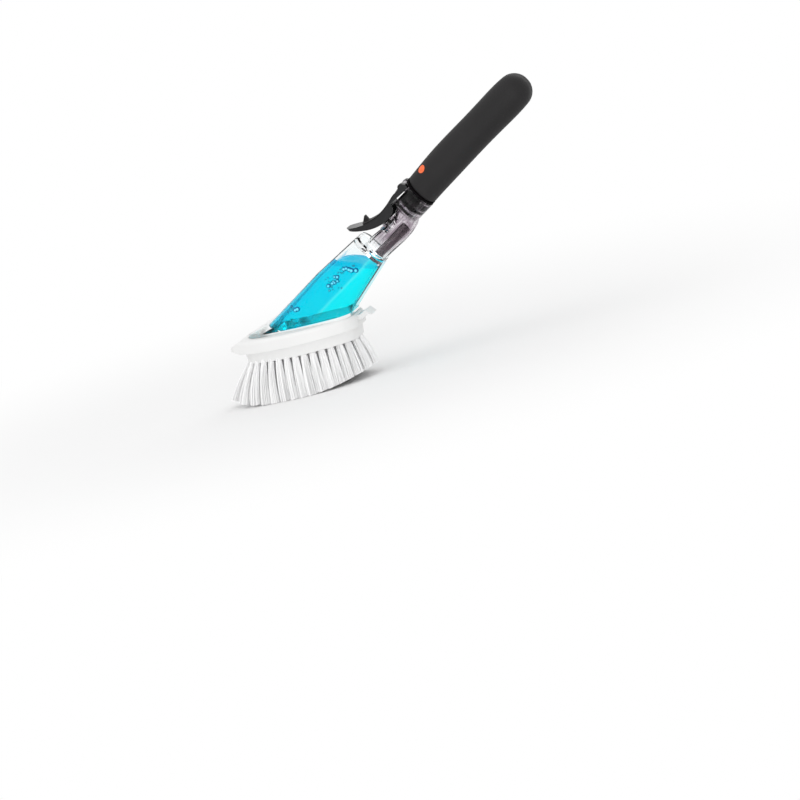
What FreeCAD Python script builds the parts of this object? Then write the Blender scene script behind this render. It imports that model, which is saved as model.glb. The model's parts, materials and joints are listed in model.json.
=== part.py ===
import FreeCAD
import Part
import math
import os

Vec = FreeCAD.Vector

# Dish wand in millimetres. Origin: centre of the brush face, on the plane of the bristle tips.
# +X runs towards the handle's end, +Z up, and the wand is mirror-like about Y = 0.

# Brush head, counted up from the bristle tips
TUFT_LENGTH = 26.6
BLOCK_HEIGHT = 7.4
RIM_HEIGHT = 8.6
BLOCK_PLUG_HEIGHT = 1.4
DECK_THICKNESS = 1.8
HEAD_FRONT = 49.0
HEAD_REAR = 42.0
HEAD_HALF_WIDTH = 27.5
HEAD_NOSE_RADIUS = 12.0
HEAD_TAIL_RADIUS = 15.0
HEAD_WIDEST_AT = 3.0
RIM_ROUND = 2.6
LIP_LENGTH = 11.0
LIP_TOP_DROP = 4.6
LIP_UNDERCUT = 2.6
BLOCK_FRONT = 39.8
BLOCK_NOSE_RADIUS = 17.0
BLOCK_INSET = 2.6
BLOCK_TAPER = 0.8
BLOCK_PLUG_INSET = 2.4
TAB_WIDTH = 14.0
TAB_REACH = 9.4
TAB_THICKNESS = 2.4
TAB_TIP_DROP = 3.4
TAB_RISE = 0.4

# Bristle tufts, in rings about the middle of the head
TUFT_ROOT_RADIUS = 1.6
TUFT_TIP_RADIUS = 2.8
TUFT_HOLE_DEPTH = 3.6
TUFT_HOLE_CLEARANCE = 0.05
TUFT_MARGIN = 3.0
RING_PITCH = 6.4
RING_COUNTS = (31, 25, 18)
ROW_COUNT = 6
ROW_PITCH = 6.0
ROW_START = -17.0
SIDE_FLARE = 6.5
FRONT_FLARE = 24.0
REAR_FLARE = 9.0
TRIM_RADIUS = 200.0
TRIM_CENTRE_X = -10.0
TRIM_FLAT_DEPTH = 0.5
ANCHOR_HEIGHT = 0.9
ANCHOR_THICKNESS = 0.5

# Soap outlet through the head
OUTLET_X = -10.0
OUTLET_BORE_RADIUS = 2.5
OUTLET_KEEP_CLEAR = 4.8
BOSS_RADIUS = 8.0
BOSS_WALL = 1.5
BOSS_DROP = 3.9
BOSS_CLEARANCE = 0.4
GASKET_THICKNESS = 1.2
GASKET_BORE_RADIUS = 4.0
VALVE_FLANGE = 1.2
VALVE_DOME_RADIUS = 4.2
VALVE_DOME_DEPTH = 2.4
VALVE_SKIN = 0.8
RETAINER_BORE_RADIUS = 4.6
FLOOR_HOLE_RADIUS = 3.2

# Clear plinth that closes the reservoir and sits in the head
PLINTH_HEIGHT = 7.0
PLINTH_FRONT = 34.5
PLINTH_REAR = 40.0
PLINTH_HALF_WIDTH = 21.5
PLINTH_NOSE_RADIUS = 15.5
PLINTH_TAIL_RADIUS = 12.0
PLINTH_WIDEST_AT = 14.0
PLINTH_CLEARANCE = 0.3
FLOOR_THICKNESS = 2.0
TOE_LENGTH = 26.0
TOE_RISE = 5.2
TOE_SLOPE_LENGTH = 16.0
TOE_INSET = 1.0

# Clear reservoir shell. From here up, sizes are along and above the leaning handle frame.
HANDLE_ANGLE = 31.0
WALL = 1.8
FOOT_FRONT_RISE = 12.4
REAR_FOOT_X = 39.6
FOOT_WIDTH = 36.0
FOOT_CORNER = 10.0
CREASE_REAR_ALONG = 41.5
CREASE_REAR_DROP = 18.6
CREASE_FRONT_ALONG = 36.0
CREASE_FRONT_RISE = 13.0
CREASE_WIDTH = 32.0
CREASE_CORNER = 7.5
SHOULDER_ALONG = 71.4
SHOULDER_SKEW = 1.0
SHOULDER_DROP = 12.8
SHOULDER_RISE = 11.2
SHOULDER_WIDTH = 28.5
SHOULDER_CORNER = 7.0
SHOULDER_ROUND = 2.4
SOAP_GAP = 0.1
SOAP_FRONT_ALONG = 49.5
SOAP_REAR_ALONG = 70.0

# Clear neck and the collar that takes the handle's plug
NECK_LENGTH = 36.6
NECK_ROOT_DROP = 12.8
NECK_DROP = 12.4
NECK_RISE = 4.1
NECK_CORNER = 6.2
COLLAR_LENGTH = 14.0
COLLAR_RADIUS = 10.6
COLLAR_RISE = 1.0
PLUG_RADIUS = 7.1
PLUG_CLEARANCE = 0.1
PLUG_LENGTH = 15.0
LUG_ALONG = 6.2
LUG_SIZE = 2.4
LUG_HEIGHT = 1.1
LUG_CLEARANCE = 0.3
LUG_REST_ANGLE = -20.0
TWIST_ANGLE = 60.0
AIR_TUBE_RADIUS = 3.2
AIR_TUBE_BORE_RADIUS = 2.2
AIR_TUBE_ALONG = 70.5
AIR_TUBE_LENGTH = 29.0
AIR_TUBE_LIFT = 0.42
SEAL_WIRE = 1.8
SEAL_ALONG = 2.6
TWIST_GAP = 0.3

# Thumb lever. Its side outline is given as the photograph shows it, part pressed.
LEVER_SHOWN_PRESS = 3.5
LEVER_WIDTH = 18.0
LEVER_LENGTH = 47.8
LEVER_TIP_RADIUS = 6.0
LEVER_SKIRT = 1.5
LEVER_PLATE = 2.0
LEVER_SIDE_CLEARANCE = 0.5
LEVER_TOP = ((-47.8, 4.2), (-38.0, -1.0), (-29.0, -3.6), (-18.0, -3.3), (-8.5, -0.9), (1.6, 1.5))
LEVER_BELOW = ((-47.8, 2.0), (-42.0, -2.4), (-36.0, -6.3), (-27.0, -9.5), (-19.5, -9.6), (-13.5, -6.2))
STEM_LENGTH = 13.0
HEEL_DROP = 3.3
HEEL_REAR = 3.2
HEEL_CORNER = 0.8
HEEL_SLOPE = 0.4
EYE_RADIUS = 2.3
PIN_RADIUS = 1.0
PIN_CLEARANCE = 0.06
PIN_RISE = 12.8
PIN_SETBACK = 4.0
PIN_LENGTH = 14.4
EAR_WIDTH = 8.0
EAR_RADIUS = 1.9
EAR_CLEARANCE = 0.6
FLAT_DEPTH = 2.6
PAD_THICKNESS = 0.8
PAD_MARGIN = 1.6
PAD_FRONT = 37.5
PAD_REAR = 8.0
FIN_WIDTH = 3.6
FIN_LENGTH = 5.0
FIN_HEIGHT = 6.2
FIN_TOP = 0.4
FIN_REAR = 33.4

# Thumb pump under the lever
LEVER_ARM = 26.0
PUMP_BOSS_RADIUS = 6.6
PUMP_BOSS_DEPTH = 5.6
PUMP_BOSS_WALL = 0.8
PUMP_BORE_RADIUS = 4.2
PUMP_SEAT_DEPTH = 3.9
PUMP_RING_HEIGHT = 1.2
PUMP_RING_BORE = 3.0
PUMP_FIT = 0.05
DIAPHRAGM_FLANGE = 1.0
DIAPHRAGM_SKIN = 0.7
DIAPHRAGM_PAD_RISE = 0.7
PLUNGER_RADIUS = 2.4
PLUNGER_HEAD_RADIUS = 4.8
PLUNGER_HEAD_HEIGHT = 1.0
PLUNGER_TOP = 7.4
NUB_RADIUS = 1.2
NUB_WIDTH = 6.0
SPRING_WIRE = 0.45
SPRING_RADIUS = 3.75
SPRING_TURNS = 3

# Handle
FLANGE_THICKNESS = 1.5
GRIP_LENGTH = 103.0
GRIP_FRONT_DEPTH = 22.6
GRIP_FRONT_WIDTH = 23.4
GRIP_FRONT_RISE = 2.0
GRIP_DEPTH = 23.8
GRIP_WIDTH = 26.4
GRIP_RISE = 3.4
GRIP_SWELL_LENGTH = 38.0
GRIP_END_ROUND = 12.0
GRIP_SKIN = 3.0
CORE_WALL = 2.6
DOT_RADIUS = 2.8
DOT_DEPTH = 1.2
DOT_ALONG = 13.0
DOT_LEAN = 48.0

# Heights that follow
Z_BLOCK = TUFT_LENGTH
Z_RIM = Z_BLOCK + BLOCK_HEIGHT
Z_TOP = Z_RIM + RIM_HEIGHT
Z_PLUG = Z_RIM + BLOCK_PLUG_HEIGHT
Z_DECK = Z_PLUG + DECK_THICKNESS
Z_FOOT = Z_DECK + PLINTH_HEIGHT
Z_FLOOR = Z_DECK + FLOOR_THICKNESS
Z_BOSS = Z_DECK - BOSS_DROP
Z_GASKET = Z_BOSS - GASKET_THICKNESS

# Places along the handle frame that follow
NECK_ALONG = SHOULDER_ALONG + NECK_LENGTH * 0.3
FLARE_ALONG = SHOULDER_ALONG + NECK_LENGTH * 0.8
COLLAR_ALONG = SHOULDER_ALONG + NECK_LENGTH
COLLAR_END = COLLAR_ALONG + COLLAR_LENGTH
PIN_ALONG = COLLAR_END - PIN_SETBACK
PUMP_ALONG = PIN_ALONG - LEVER_ARM
PLUG_ALONG = COLLAR_END - PLUG_LENGTH
FLANGE_ALONG = COLLAR_END + TWIST_GAP
GRIP_ALONG = FLANGE_ALONG + FLANGE_THICKNESS
NECK_WIDTH = LEVER_WIDTH - 2 * LEVER_SKIRT - 2 * LEVER_SIDE_CLEARANCE
BORE_RADIUS = PLUG_RADIUS + PLUG_CLEARANCE
FLAT_RISE = COLLAR_RISE + COLLAR_RADIUS - FLAT_DEPTH
PUMP_SEAT = NECK_RISE - PUMP_SEAT_DEPTH
PUMP_RING_LOW = PUMP_SEAT + DIAPHRAGM_FLANGE
PUMP_RING_TOP = PUMP_RING_LOW + PUMP_RING_HEIGHT
PUMP_PAD_TOP = PUMP_RING_LOW + DIAPHRAGM_PAD_RISE
PUMP_RECESS_RADIUS = PUMP_BOSS_RADIUS - PUMP_BOSS_WALL
PLUNGER_HEAD_LOW = PLUNGER_TOP - PLUNGER_HEAD_HEIGHT

LEAN = math.radians(HANDLE_ANGLE)
HANDLE_FRAME = FreeCAD.Placement(Vec(0, 0, Z_FOOT), FreeCAD.Rotation(Vec(0, 1, 0), -HANDLE_ANGLE))
UP_IN_FRAME = Vec(math.sin(LEAN), 0, math.cos(LEAN))
PIVOT = Vec(PIN_ALONG, 0, PIN_RISE)
FAR = 400.0


def leaning(shape):
    """The shape moved from the handle's own frame (along, across, above) to the wand's frame."""
    moved = shape.copy()
    moved.Placement = HANDLE_FRAME.multiply(moved.Placement)
    return moved


def save(name, shape):
    """Write one sub-part to its own file."""
    shape.exportStep("parts/" + name + ".step")
    print(name, "solids", len(shape.Solids), "volume", round(shape.Volume, 1), "valid", shape.isValid())


def box(x0, x1, y0, y1, z0, z1):
    return Part.makeBox(x1 - x0, y1 - y0, z1 - z0, Vec(x0, y0, z0))


def upright(radius, low, high, x=0.0, y=0.0):
    """A cylinder along Z."""
    return Part.makeCylinder(radius, high - low, Vec(x, y, low))


def along_axis(radius, start, end, rise):
    """A cylinder along the handle frame's axis."""
    return Part.makeCylinder(radius, end - start, Vec(start, 0, rise), Vec(1, 0, 0))


def across_axis(radius, width, centre):
    """A cylinder along Y with its middle at the centre."""
    return Part.makeCylinder(radius, width, centre - Vec(0, width / 2, 0), Vec(0, 1, 0))


def turned(profile, x):
    """A solid of revolution about the Z line at x, from (radius, height) points."""
    points = [Vec(x + radius, 0, height) for radius, height in profile]
    face = Part.Face(Part.makePolygon(points + points[:1]))
    return face.revolve(Vec(x, 0, 0), Vec(0, 0, 1), 360)


def rounded_rectangle(width, depth, radius, centre, across, up):
    """A closed wire of four lines and four quarter arcs in the plane of the across and up directions."""
    edges = []
    ends = []
    signs = ((1, 1), (-1, 1), (-1, -1), (1, -1))
    for quarter, (side, top) in enumerate(signs):
        middle = centre + across * (side * (width / 2 - radius)) + up * (top * (depth / 2 - radius))
        points = []
        for step in range(3):
            turn = math.radians(90 * quarter + 45 * step)
            points.append(middle + across * (radius * math.cos(turn)) + up * (radius * math.sin(turn)))
        edges.append(Part.Arc(*points).toShape())
        ends.append((points[0], points[2]))
    outline = []
    for quarter in range(4):
        outline.append(edges[quarter])
        outline.append(Part.makeLine(ends[quarter][1], ends[(quarter + 1) % 4][0]))
    return Part.Wire(outline)


def span_section(rear, front, width, radius, inset=0.0, lift=0.0):
    """A rounded section between two (along, above) points, shrunk by inset and moved by lift."""
    rear_point = Vec(rear[0], 0, rear[1])
    front_point = Vec(front[0], 0, front[1])
    up = front_point - rear_point
    depth = up.Length - 2 * inset
    up.normalize()
    across = Vec(0, 1, 0)
    centre = (rear_point + front_point) * 0.5 + across.cross(up) * lift
    return rounded_rectangle(width - 2 * inset, depth, radius - inset, centre, across, up)


def level_section(along, low, high, width, radius, inset=0.0):
    """A rounded section square to the handle frame's axis."""
    return span_section((along, low), (along, high), width, radius, inset)


def boat_outline(front, rear, half_width, nose, tail, widest_at, z):
    """A closed plan outline: a nose arc, two side arcs, two tail corners and a straight tail."""
    nose_x = nose - front
    reach = nose_x - widest_at
    side = (reach ** 2 + half_width ** 2 - nose ** 2) / (2 * (half_width - nose))
    side_y = half_width - side
    tail_x = rear - tail
    tail_y = side_y + math.sqrt((side - tail) ** 2 - (tail_x - widest_at) ** 2)
    nose_turn = math.atan2(-side_y, nose_x - widest_at)
    tail_turn = math.atan2(tail_y - side_y, tail_x - widest_at)

    def on(x, y, radius, turn, sign):
        return Vec(x + radius * math.cos(turn), sign * (y + radius * math.sin(turn)), z)

    def half(sign):
        touch = on(nose_x, 0, nose, nose_turn, sign)
        middle = on(widest_at, side_y, side, (nose_turn + tail_turn) / 2, sign)
        corner = on(tail_x, tail_y, tail, tail_turn, sign)
        corner_middle = on(tail_x, tail_y, tail, tail_turn / 2, sign)
        square = Vec(rear, sign * tail_y, z)
        return touch, middle, corner, corner_middle, square

    left = half(1)
    right = half(-1)
    tip = Vec(-front, 0, z)
    return Part.Wire([
        Part.Arc(right[0], tip, left[0]).toShape(),
        Part.Arc(left[0], left[1], left[2]).toShape(),
        Part.Arc(left[2], left[3], left[4]).toShape(),
        Part.makeLine(left[4], right[4]),
        Part.Arc(right[4], right[3], right[2]).toShape(),
        Part.Arc(right[2], right[1], right[0]).toShape(),
    ])


def head_outline(inset, z):
    return boat_outline(HEAD_FRONT - inset, HEAD_REAR - inset, HEAD_HALF_WIDTH - inset,
                        HEAD_NOSE_RADIUS - inset, HEAD_TAIL_RADIUS - inset, HEAD_WIDEST_AT, z)


def block_outline(inset, z):
    rear = HEAD_REAR - BLOCK_INSET - inset
    return boat_outline(BLOCK_FRONT - inset, rear, HEAD_HALF_WIDTH - BLOCK_INSET - inset,
                        BLOCK_NOSE_RADIUS - inset, HEAD_TAIL_RADIUS - BLOCK_INSET - inset, HEAD_WIDEST_AT, z)


def plinth_outline(grow, z):
    return boat_outline(PLINTH_FRONT + grow, PLINTH_REAR + grow, PLINTH_HALF_WIDTH + grow,
                        PLINTH_NOSE_RADIUS + grow, PLINTH_TAIL_RADIUS + grow, PLINTH_WIDEST_AT, z)


def prism(wire, height):
    return Part.Face(wire).extrude(Vec(0, 0, height))


def spline(points):
    curve = Part.BSplineCurve()
    curve.interpolate(points)
    return curve.toShape()


# The reservoir's sections, shared by the shell, its cavity and the soap

def foot_section(inset):
    """The shell's level foot. Its front wall leans, so the inset there is longer."""
    front_x = (inset - FOOT_FRONT_RISE) / math.sin(LEAN)
    rear_x = REAR_FOOT_X - inset
    rear = (rear_x * math.cos(LEAN), -rear_x * math.sin(LEAN))
    front = (front_x * math.cos(LEAN), -front_x * math.sin(LEAN))
    return span_section(rear, front, FOOT_WIDTH - 2 * inset, FOOT_CORNER - inset)


def crease_section(inset):
    rear = (CREASE_REAR_ALONG, -CREASE_REAR_DROP)
    front = (CREASE_FRONT_ALONG, CREASE_FRONT_RISE)
    return span_section(rear, front, CREASE_WIDTH, CREASE_CORNER, inset)


def shoulder_section(inset, lift):
    rear = (SHOULDER_ALONG + SHOULDER_SKEW / 2, -SHOULDER_DROP)
    front = (SHOULDER_ALONG - SHOULDER_SKEW / 2, SHOULDER_RISE)
    return span_section(rear, front, SHOULDER_WIDTH, SHOULDER_CORNER, inset, lift)


def cavity(inset):
    """The inside of the shell, from its foot to under its shoulder, and down into the plinth."""
    inside = Part.makeLoft([foot_section(inset), crease_section(inset), shoulder_section(inset, -inset)],
                           True, True)
    pit_depth = PLINTH_HEIGHT - FLOOR_THICKNESS - (inset - WALL)
    pit = Part.Face(foot_section(inset)).extrude(UP_IN_FRAME * -pit_depth)
    return inside.fuse(pit).removeSplitter()


def neck_sections(inset):
    return [
        level_section(SHOULDER_ALONG - SHOULDER_ROUND, -NECK_ROOT_DROP, NECK_RISE - 1, NECK_WIDTH + 3,
                      NECK_CORNER + 1, inset),
        level_section(NECK_ALONG, -NECK_DROP, NECK_RISE, NECK_WIDTH, NECK_CORNER, inset),
        level_section(FLARE_ALONG, -NECK_DROP, NECK_RISE, NECK_WIDTH, NECK_CORNER, inset),
    ]


def shell_blank():
    """The shell's outer form, with its shoulder rounded off."""
    rim = [shoulder_section(0, 0), shoulder_section(SHOULDER_ROUND * 0.3, SHOULDER_ROUND * 0.7),
           shoulder_section(SHOULDER_ROUND, SHOULDER_ROUND)]
    return Part.makeLoft([foot_section(0), crease_section(0)] + rim, True, True)


def reservoir_body():
    """The clear shell, neck and collar, with the pump's boss and the lever's ear."""
    shell = shell_blank()
    collar_low = COLLAR_RISE - COLLAR_RADIUS
    collar_high = COLLAR_RISE + COLLAR_RADIUS
    flare_end = level_section(COLLAR_ALONG, collar_low, collar_high, 2 * COLLAR_RADIUS, COLLAR_RADIUS * 0.97)
    neck = Part.makeLoft(neck_sections(0) + [flare_end], True, False)
    collar = along_axis(COLLAR_RADIUS, COLLAR_ALONG - 1, COLLAR_END, COLLAR_RISE)
    outer = shell.fuse([neck, collar])

    mouth = level_section(PLUG_ALONG, COLLAR_RISE - BORE_RADIUS, COLLAR_RISE + BORE_RADIUS,
                          2 * BORE_RADIUS, BORE_RADIUS * 0.97)
    passage = Part.makeLoft(neck_sections(WALL) + [mouth], True, False)
    bore = along_axis(BORE_RADIUS, PLUG_ALONG - 1, COLLAR_END + 1, COLLAR_RISE)
    flat = box(PUMP_ALONG + PUMP_BOSS_RADIUS, COLLAR_END + 1, -COLLAR_RADIUS, COLLAR_RADIUS, FLAT_RISE, FAR)
    ear_foot = box(PIN_ALONG - EAR_RADIUS, PIN_ALONG + EAR_RADIUS, -EAR_WIDTH / 2, EAR_WIDTH / 2,
                   COLLAR_RISE + BORE_RADIUS, PIN_RISE)
    ear_head = across_axis(EAR_RADIUS, EAR_WIDTH, PIVOT)
    boss = upright(PUMP_BOSS_RADIUS, NECK_RISE - PUMP_BOSS_DEPTH, NECK_RISE, PUMP_ALONG)
    body = outer.cut([cavity(WALL), passage, bore, flat]).fuse([ear_foot, ear_head, boss])
    recess = upright(PUMP_RECESS_RADIUS, PUMP_SEAT, PIN_RISE, PUMP_ALONG)
    pump_bore = upright(PUMP_BORE_RADIUS, NECK_RISE - PUMP_BOSS_DEPTH - 1, PUMP_SEAT + 1, PUMP_ALONG)
    pin_hole = across_axis(PIN_RADIUS, LEVER_WIDTH, PIVOT)
    return body.cut([recess, pump_bore, pin_hole] + bayonet_slots())


def bayonet_slots():
    """Two L-shaped slots in the collar's bore: a way in, and a leg that the lug turns along."""
    slots = []
    depth = BORE_RADIUS + LUG_HEIGHT + LUG_CLEARANCE
    half = LUG_SIZE / 2 + LUG_CLEARANCE
    middle = COLLAR_END - LUG_ALONG
    centre = Vec(0, 0, COLLAR_RISE)
    lead = math.degrees(half / BORE_RADIUS)
    for start in (LUG_REST_ANGLE, LUG_REST_ANGLE + 180):
        profile = Part.makePolygon([
            Vec(middle - half, PLUG_RADIUS - 1, COLLAR_RISE),
            Vec(middle + half, PLUG_RADIUS - 1, COLLAR_RISE),
            Vec(middle + half, depth, COLLAR_RISE),
            Vec(middle - half, depth, COLLAR_RISE),
            Vec(middle - half, PLUG_RADIUS - 1, COLLAR_RISE)])
        leg = Part.Face(profile)
        leg.rotate(centre, Vec(1, 0, 0), start - lead)
        leg = leg.revolve(centre, Vec(1, 0, 0), TWIST_ANGLE + 2 * lead)
        way_in = box(middle, COLLAR_END + 1, PLUG_RADIUS - 1, depth, COLLAR_RISE - half, COLLAR_RISE + half)
        way_in.rotate(centre, Vec(1, 0, 0), start + TWIST_ANGLE)
        slots.append(leg.fuse(way_in))
    return slots


def air_tube():
    """The dark tube that lies on the neck's floor and lets air back to the reservoir."""
    rise = WALL + AIR_TUBE_LIFT + AIR_TUBE_RADIUS - NECK_DROP
    end = AIR_TUBE_ALONG + AIR_TUBE_LENGTH
    tube = along_axis(AIR_TUBE_RADIUS, AIR_TUBE_ALONG, end, rise)
    return tube.cut(along_axis(AIR_TUBE_BORE_RADIUS, AIR_TUBE_ALONG, end, rise))


def soap_charge():
    """The soap, up to the surface that the photograph shows."""
    slope = (SOAP_REAR_ALONG - SOAP_FRONT_ALONG) / (SHOULDER_DROP + SHOULDER_RISE)
    front = Vec(SOAP_FRONT_ALONG - slope * FAR, -FAR, SHOULDER_RISE + FAR)
    rear = Vec(SOAP_REAR_ALONG + slope * FAR, -FAR, -SHOULDER_DROP - FAR)
    across = Vec(0, 2 * FAR, 0)
    surface = Part.Face(Part.makePolygon([front, rear, rear + across, front + across, front]))
    return cavity(WALL + SOAP_GAP).cut(surface.extrude(Vec(FAR, 0, 0)))


def floor_plate():
    """The clear plinth with its raised toe, its floor and the boss that hangs into the head."""
    plinth = prism(plinth_outline(0, Z_DECK), PLINTH_HEIGHT)
    toe_front = TOE_INSET - PLINTH_FRONT
    ramp = side_prism([(toe_front, Z_FLOOR), (toe_front, Z_FOOT),
                       (toe_front + TOE_SLOPE_LENGTH, Z_FOOT + TOE_RISE),
                       (toe_front + TOE_LENGTH, Z_FOOT), (toe_front + TOE_LENGTH, Z_FLOOR)])
    toe = prism(plinth_outline(-TOE_INSET, Z_FLOOR), FAR).common(ramp)
    boss = upright(BOSS_RADIUS, Z_BOSS, Z_DECK + FLOOR_THICKNESS / 2, OUTLET_X)
    cup = upright(BOSS_RADIUS - BOSS_WALL, Z_BOSS, Z_DECK, OUTLET_X)
    hole = upright(FLOOR_HOLE_RADIUS, Z_BOSS, Z_FOOT, OUTLET_X)
    plinth = plinth.fuse(toe).cut([leaning(shell_blank()), leaning(cavity(WALL))])
    return plinth.fuse(boss).cut([cup, hole]).removeSplitter()


def outlet_valve():
    """Silicone valve: a flange in the boss and a thin dome whose slits open under pressure."""
    outer = BOSS_RADIUS - BOSS_WALL - PUMP_FIT
    low = Z_DECK - VALVE_FLANGE
    crown = VALVE_DOME_RADIUS - VALVE_SKIN
    tip = low - VALVE_DOME_DEPTH
    return turned([(0, tip), (crown, tip), (VALVE_DOME_RADIUS, low), (outer, low), (outer, Z_DECK),
                   (crown, Z_DECK), (crown - VALVE_SKIN, tip + VALVE_SKIN), (0, tip + VALVE_SKIN)], OUTLET_X)


def valve_retainer():
    """Snap ring that holds the valve up in its boss."""
    outer = BOSS_RADIUS - BOSS_WALL - PUMP_FIT
    ring = upright(outer, Z_BOSS, Z_DECK - VALVE_FLANGE, OUTLET_X)
    return ring.cut(upright(RETAINER_BORE_RADIUS, Z_BOSS, Z_DECK, OUTLET_X))


def outlet_gasket():
    ring = upright(BOSS_RADIUS, Z_GASKET, Z_BOSS - PUMP_FIT, OUTLET_X)
    return ring.cut(upright(GASKET_BORE_RADIUS, Z_GASKET, Z_BOSS, OUTLET_X))


def side_prism(points):
    """A long prism across the wand, from (x, z) points of its side outline."""
    corners = [Vec(x, -FAR, z) for x, z in points]
    return Part.Face(Part.makePolygon(corners + corners[:1])).extrude(Vec(0, 2 * FAR, 0))


def head_carrier():
    """The white upper rim: pocket for the plinth, pocket for the block, scraping lip and thumb tab."""
    rim = prism(head_outline(0, Z_RIM), RIM_HEIGHT)
    top_edges = [edge for edge in rim.Edges if edge.BoundBox.ZMin > Z_TOP - 0.01]
    rim = rim.makeFillet(RIM_ROUND, top_edges)
    lip_root = LIP_LENGTH - HEAD_FRONT
    tip_x = -HEAD_FRONT
    lip_top = side_prism([(lip_root, Z_TOP), (tip_x, Z_TOP - LIP_TOP_DROP), (tip_x - 1, Z_TOP - LIP_TOP_DROP),
                          (tip_x - 1, Z_TOP + 1), (lip_root, Z_TOP + 1)])
    lip_below = side_prism([(-BLOCK_FRONT, Z_RIM), (tip_x, Z_RIM + LIP_UNDERCUT),
                            (tip_x - 1, Z_RIM + LIP_UNDERCUT), (tip_x - 1, Z_RIM - 1),
                            (-BLOCK_FRONT, Z_RIM - 1)])
    tab_root = HEAD_REAR - RIM_ROUND
    tab_bend = HEAD_REAR + TAB_THICKNESS
    tab_tip = HEAD_REAR + TAB_REACH
    tab_crest = tab_tip - TAB_TIP_DROP
    tab = side_prism([(tab_root, Z_TOP - 2 * TAB_THICKNESS), (tab_bend, Z_TOP - 2 * TAB_THICKNESS),
                      (tab_crest, Z_TOP - TAB_THICKNESS), (tab_tip, Z_TOP - TAB_TIP_DROP),
                      (tab_crest, Z_TOP + TAB_RISE), (tab_bend, Z_TOP - TAB_THICKNESS / 2),
                      (tab_root, Z_TOP - TAB_THICKNESS)])
    tab = tab.common(box(-FAR, FAR, -TAB_WIDTH / 2, TAB_WIDTH / 2, 0, FAR))
    upper_pocket = prism(plinth_outline(PLINTH_CLEARANCE, Z_DECK), FAR)
    lower_pocket = prism(block_outline(BLOCK_PLUG_INSET - PLINTH_CLEARANCE, Z_RIM), BLOCK_PLUG_HEIGHT)
    boss_hole = upright(BOSS_RADIUS + BOSS_CLEARANCE, Z_RIM, Z_TOP, OUTLET_X)
    rim = rim.cut([lip_top, lip_below]).fuse(tab)
    return rim.cut([upper_pocket, lower_pocket, boss_hole]).removeSplitter()


def tuft_block():
    """The white lower block, with a blind hole for each tuft and the soap outlet."""
    lower = Part.makeLoft([block_outline(BLOCK_TAPER, Z_BLOCK), block_outline(0, Z_RIM)], True, True)
    plug = prism(block_outline(BLOCK_PLUG_INSET, Z_RIM), BLOCK_PLUG_HEIGHT)
    seat = upright(BOSS_RADIUS + BOSS_CLEARANCE, Z_GASKET, Z_PLUG, OUTLET_X)
    outlet = upright(OUTLET_BORE_RADIUS, Z_BLOCK, Z_PLUG, OUTLET_X)
    holes = []
    for x, y in all_tuft_places():
        radius = TUFT_ROOT_RADIUS + TUFT_HOLE_CLEARANCE
        holes.append(upright(radius, Z_BLOCK - 1, Z_BLOCK + TUFT_HOLE_DEPTH, x, y))
    return lower.fuse(plug).cut([seat, outlet] + holes).removeSplitter()


def ring_size(ring):
    """Half length, half width and middle of one ring of tufts."""
    margin = BLOCK_TAPER + TUFT_MARGIN + ring * RING_PITCH
    rear = HEAD_REAR - BLOCK_INSET
    half_length = (BLOCK_FRONT + rear) / 2 - margin
    return half_length, HEAD_HALF_WIDTH - BLOCK_INSET - margin, (rear - BLOCK_FRONT) / 2


def tuft_places(ring):
    """Evenly spaced places on one ring, or on the middle row inside them, leaving the soap outlet free."""
    half_length, half_width, middle = ring_size(ring)
    if ring < len(RING_COUNTS):
        ellipse = Part.Ellipse(Vec(middle, 0, 0), half_length, half_width).toShape()
        points = ellipse.discretize(Number=RING_COUNTS[ring] + 1)[:-1]
    else:
        points = [Vec(ROW_START + step * ROW_PITCH, 0, 0) for step in range(ROW_COUNT)]
    outlet = Vec(OUTLET_X, 0, 0)
    return [(point.x, point.y) for point in points if point.distanceToPoint(outlet) > OUTLET_KEEP_CLEAR]


def all_tuft_places():
    places = []
    for ring in range(len(RING_COUNTS) + 1):
        places.extend(tuft_places(ring))
    return places


def trim_tool():
    """What the bristle trim takes away: everything below a shallow arch with a flat middle."""
    arch = Part.makeCylinder(TRIM_RADIUS, 2 * FAR, Vec(TRIM_CENTRE_X, -FAR, TRIM_RADIUS - TRIM_FLAT_DEPTH),
                             Vec(0, 1, 0))
    kept = arch.cut(box(-FAR, FAR, -FAR, FAR, -FAR, 0))
    return box(-FAR, FAR, -FAR, FAR, -FAR, Z_BLOCK).cut(kept)


def tuft(x, y, ring):
    """One tuft: a straight root in its hole and a flaring brush that leans outwards."""
    half_length, half_width, middle = ring_size(ring)
    outward = Vec((x - middle) / half_length ** 2, y / half_width ** 2, 0)
    outward.normalize()
    end_flare = FRONT_FLARE if outward.x < 0 else REAR_FLARE
    flare = SIDE_FLARE + (end_flare - SIDE_FLARE) * outward.x ** 2
    ring_share = 1.0 - ring / (len(RING_COUNTS) + 1)
    lean = outward * (flare * ring_share ** 1.5)
    root = Vec(x, y, Z_BLOCK)
    tip = root + lean - Vec(0, 0, TUFT_LENGTH + TRIM_FLAT_DEPTH)
    top = Part.Wire(Part.makeCircle(TUFT_ROOT_RADIUS, root))
    end = Part.Wire(Part.makeCircle(TUFT_TIP_RADIUS, tip))
    brush = Part.makeLoft([end, top], True, True)
    stub = upright(TUFT_ROOT_RADIUS, Z_BLOCK, Z_BLOCK + TUFT_HOLE_DEPTH - ANCHOR_HEIGHT, x, y)
    return brush.fuse(stub)


def tufts(ring, tool):
    return [tuft(x, y, ring).cut(tool).removeSplitter() for x, y in tuft_places(ring)]


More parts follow.
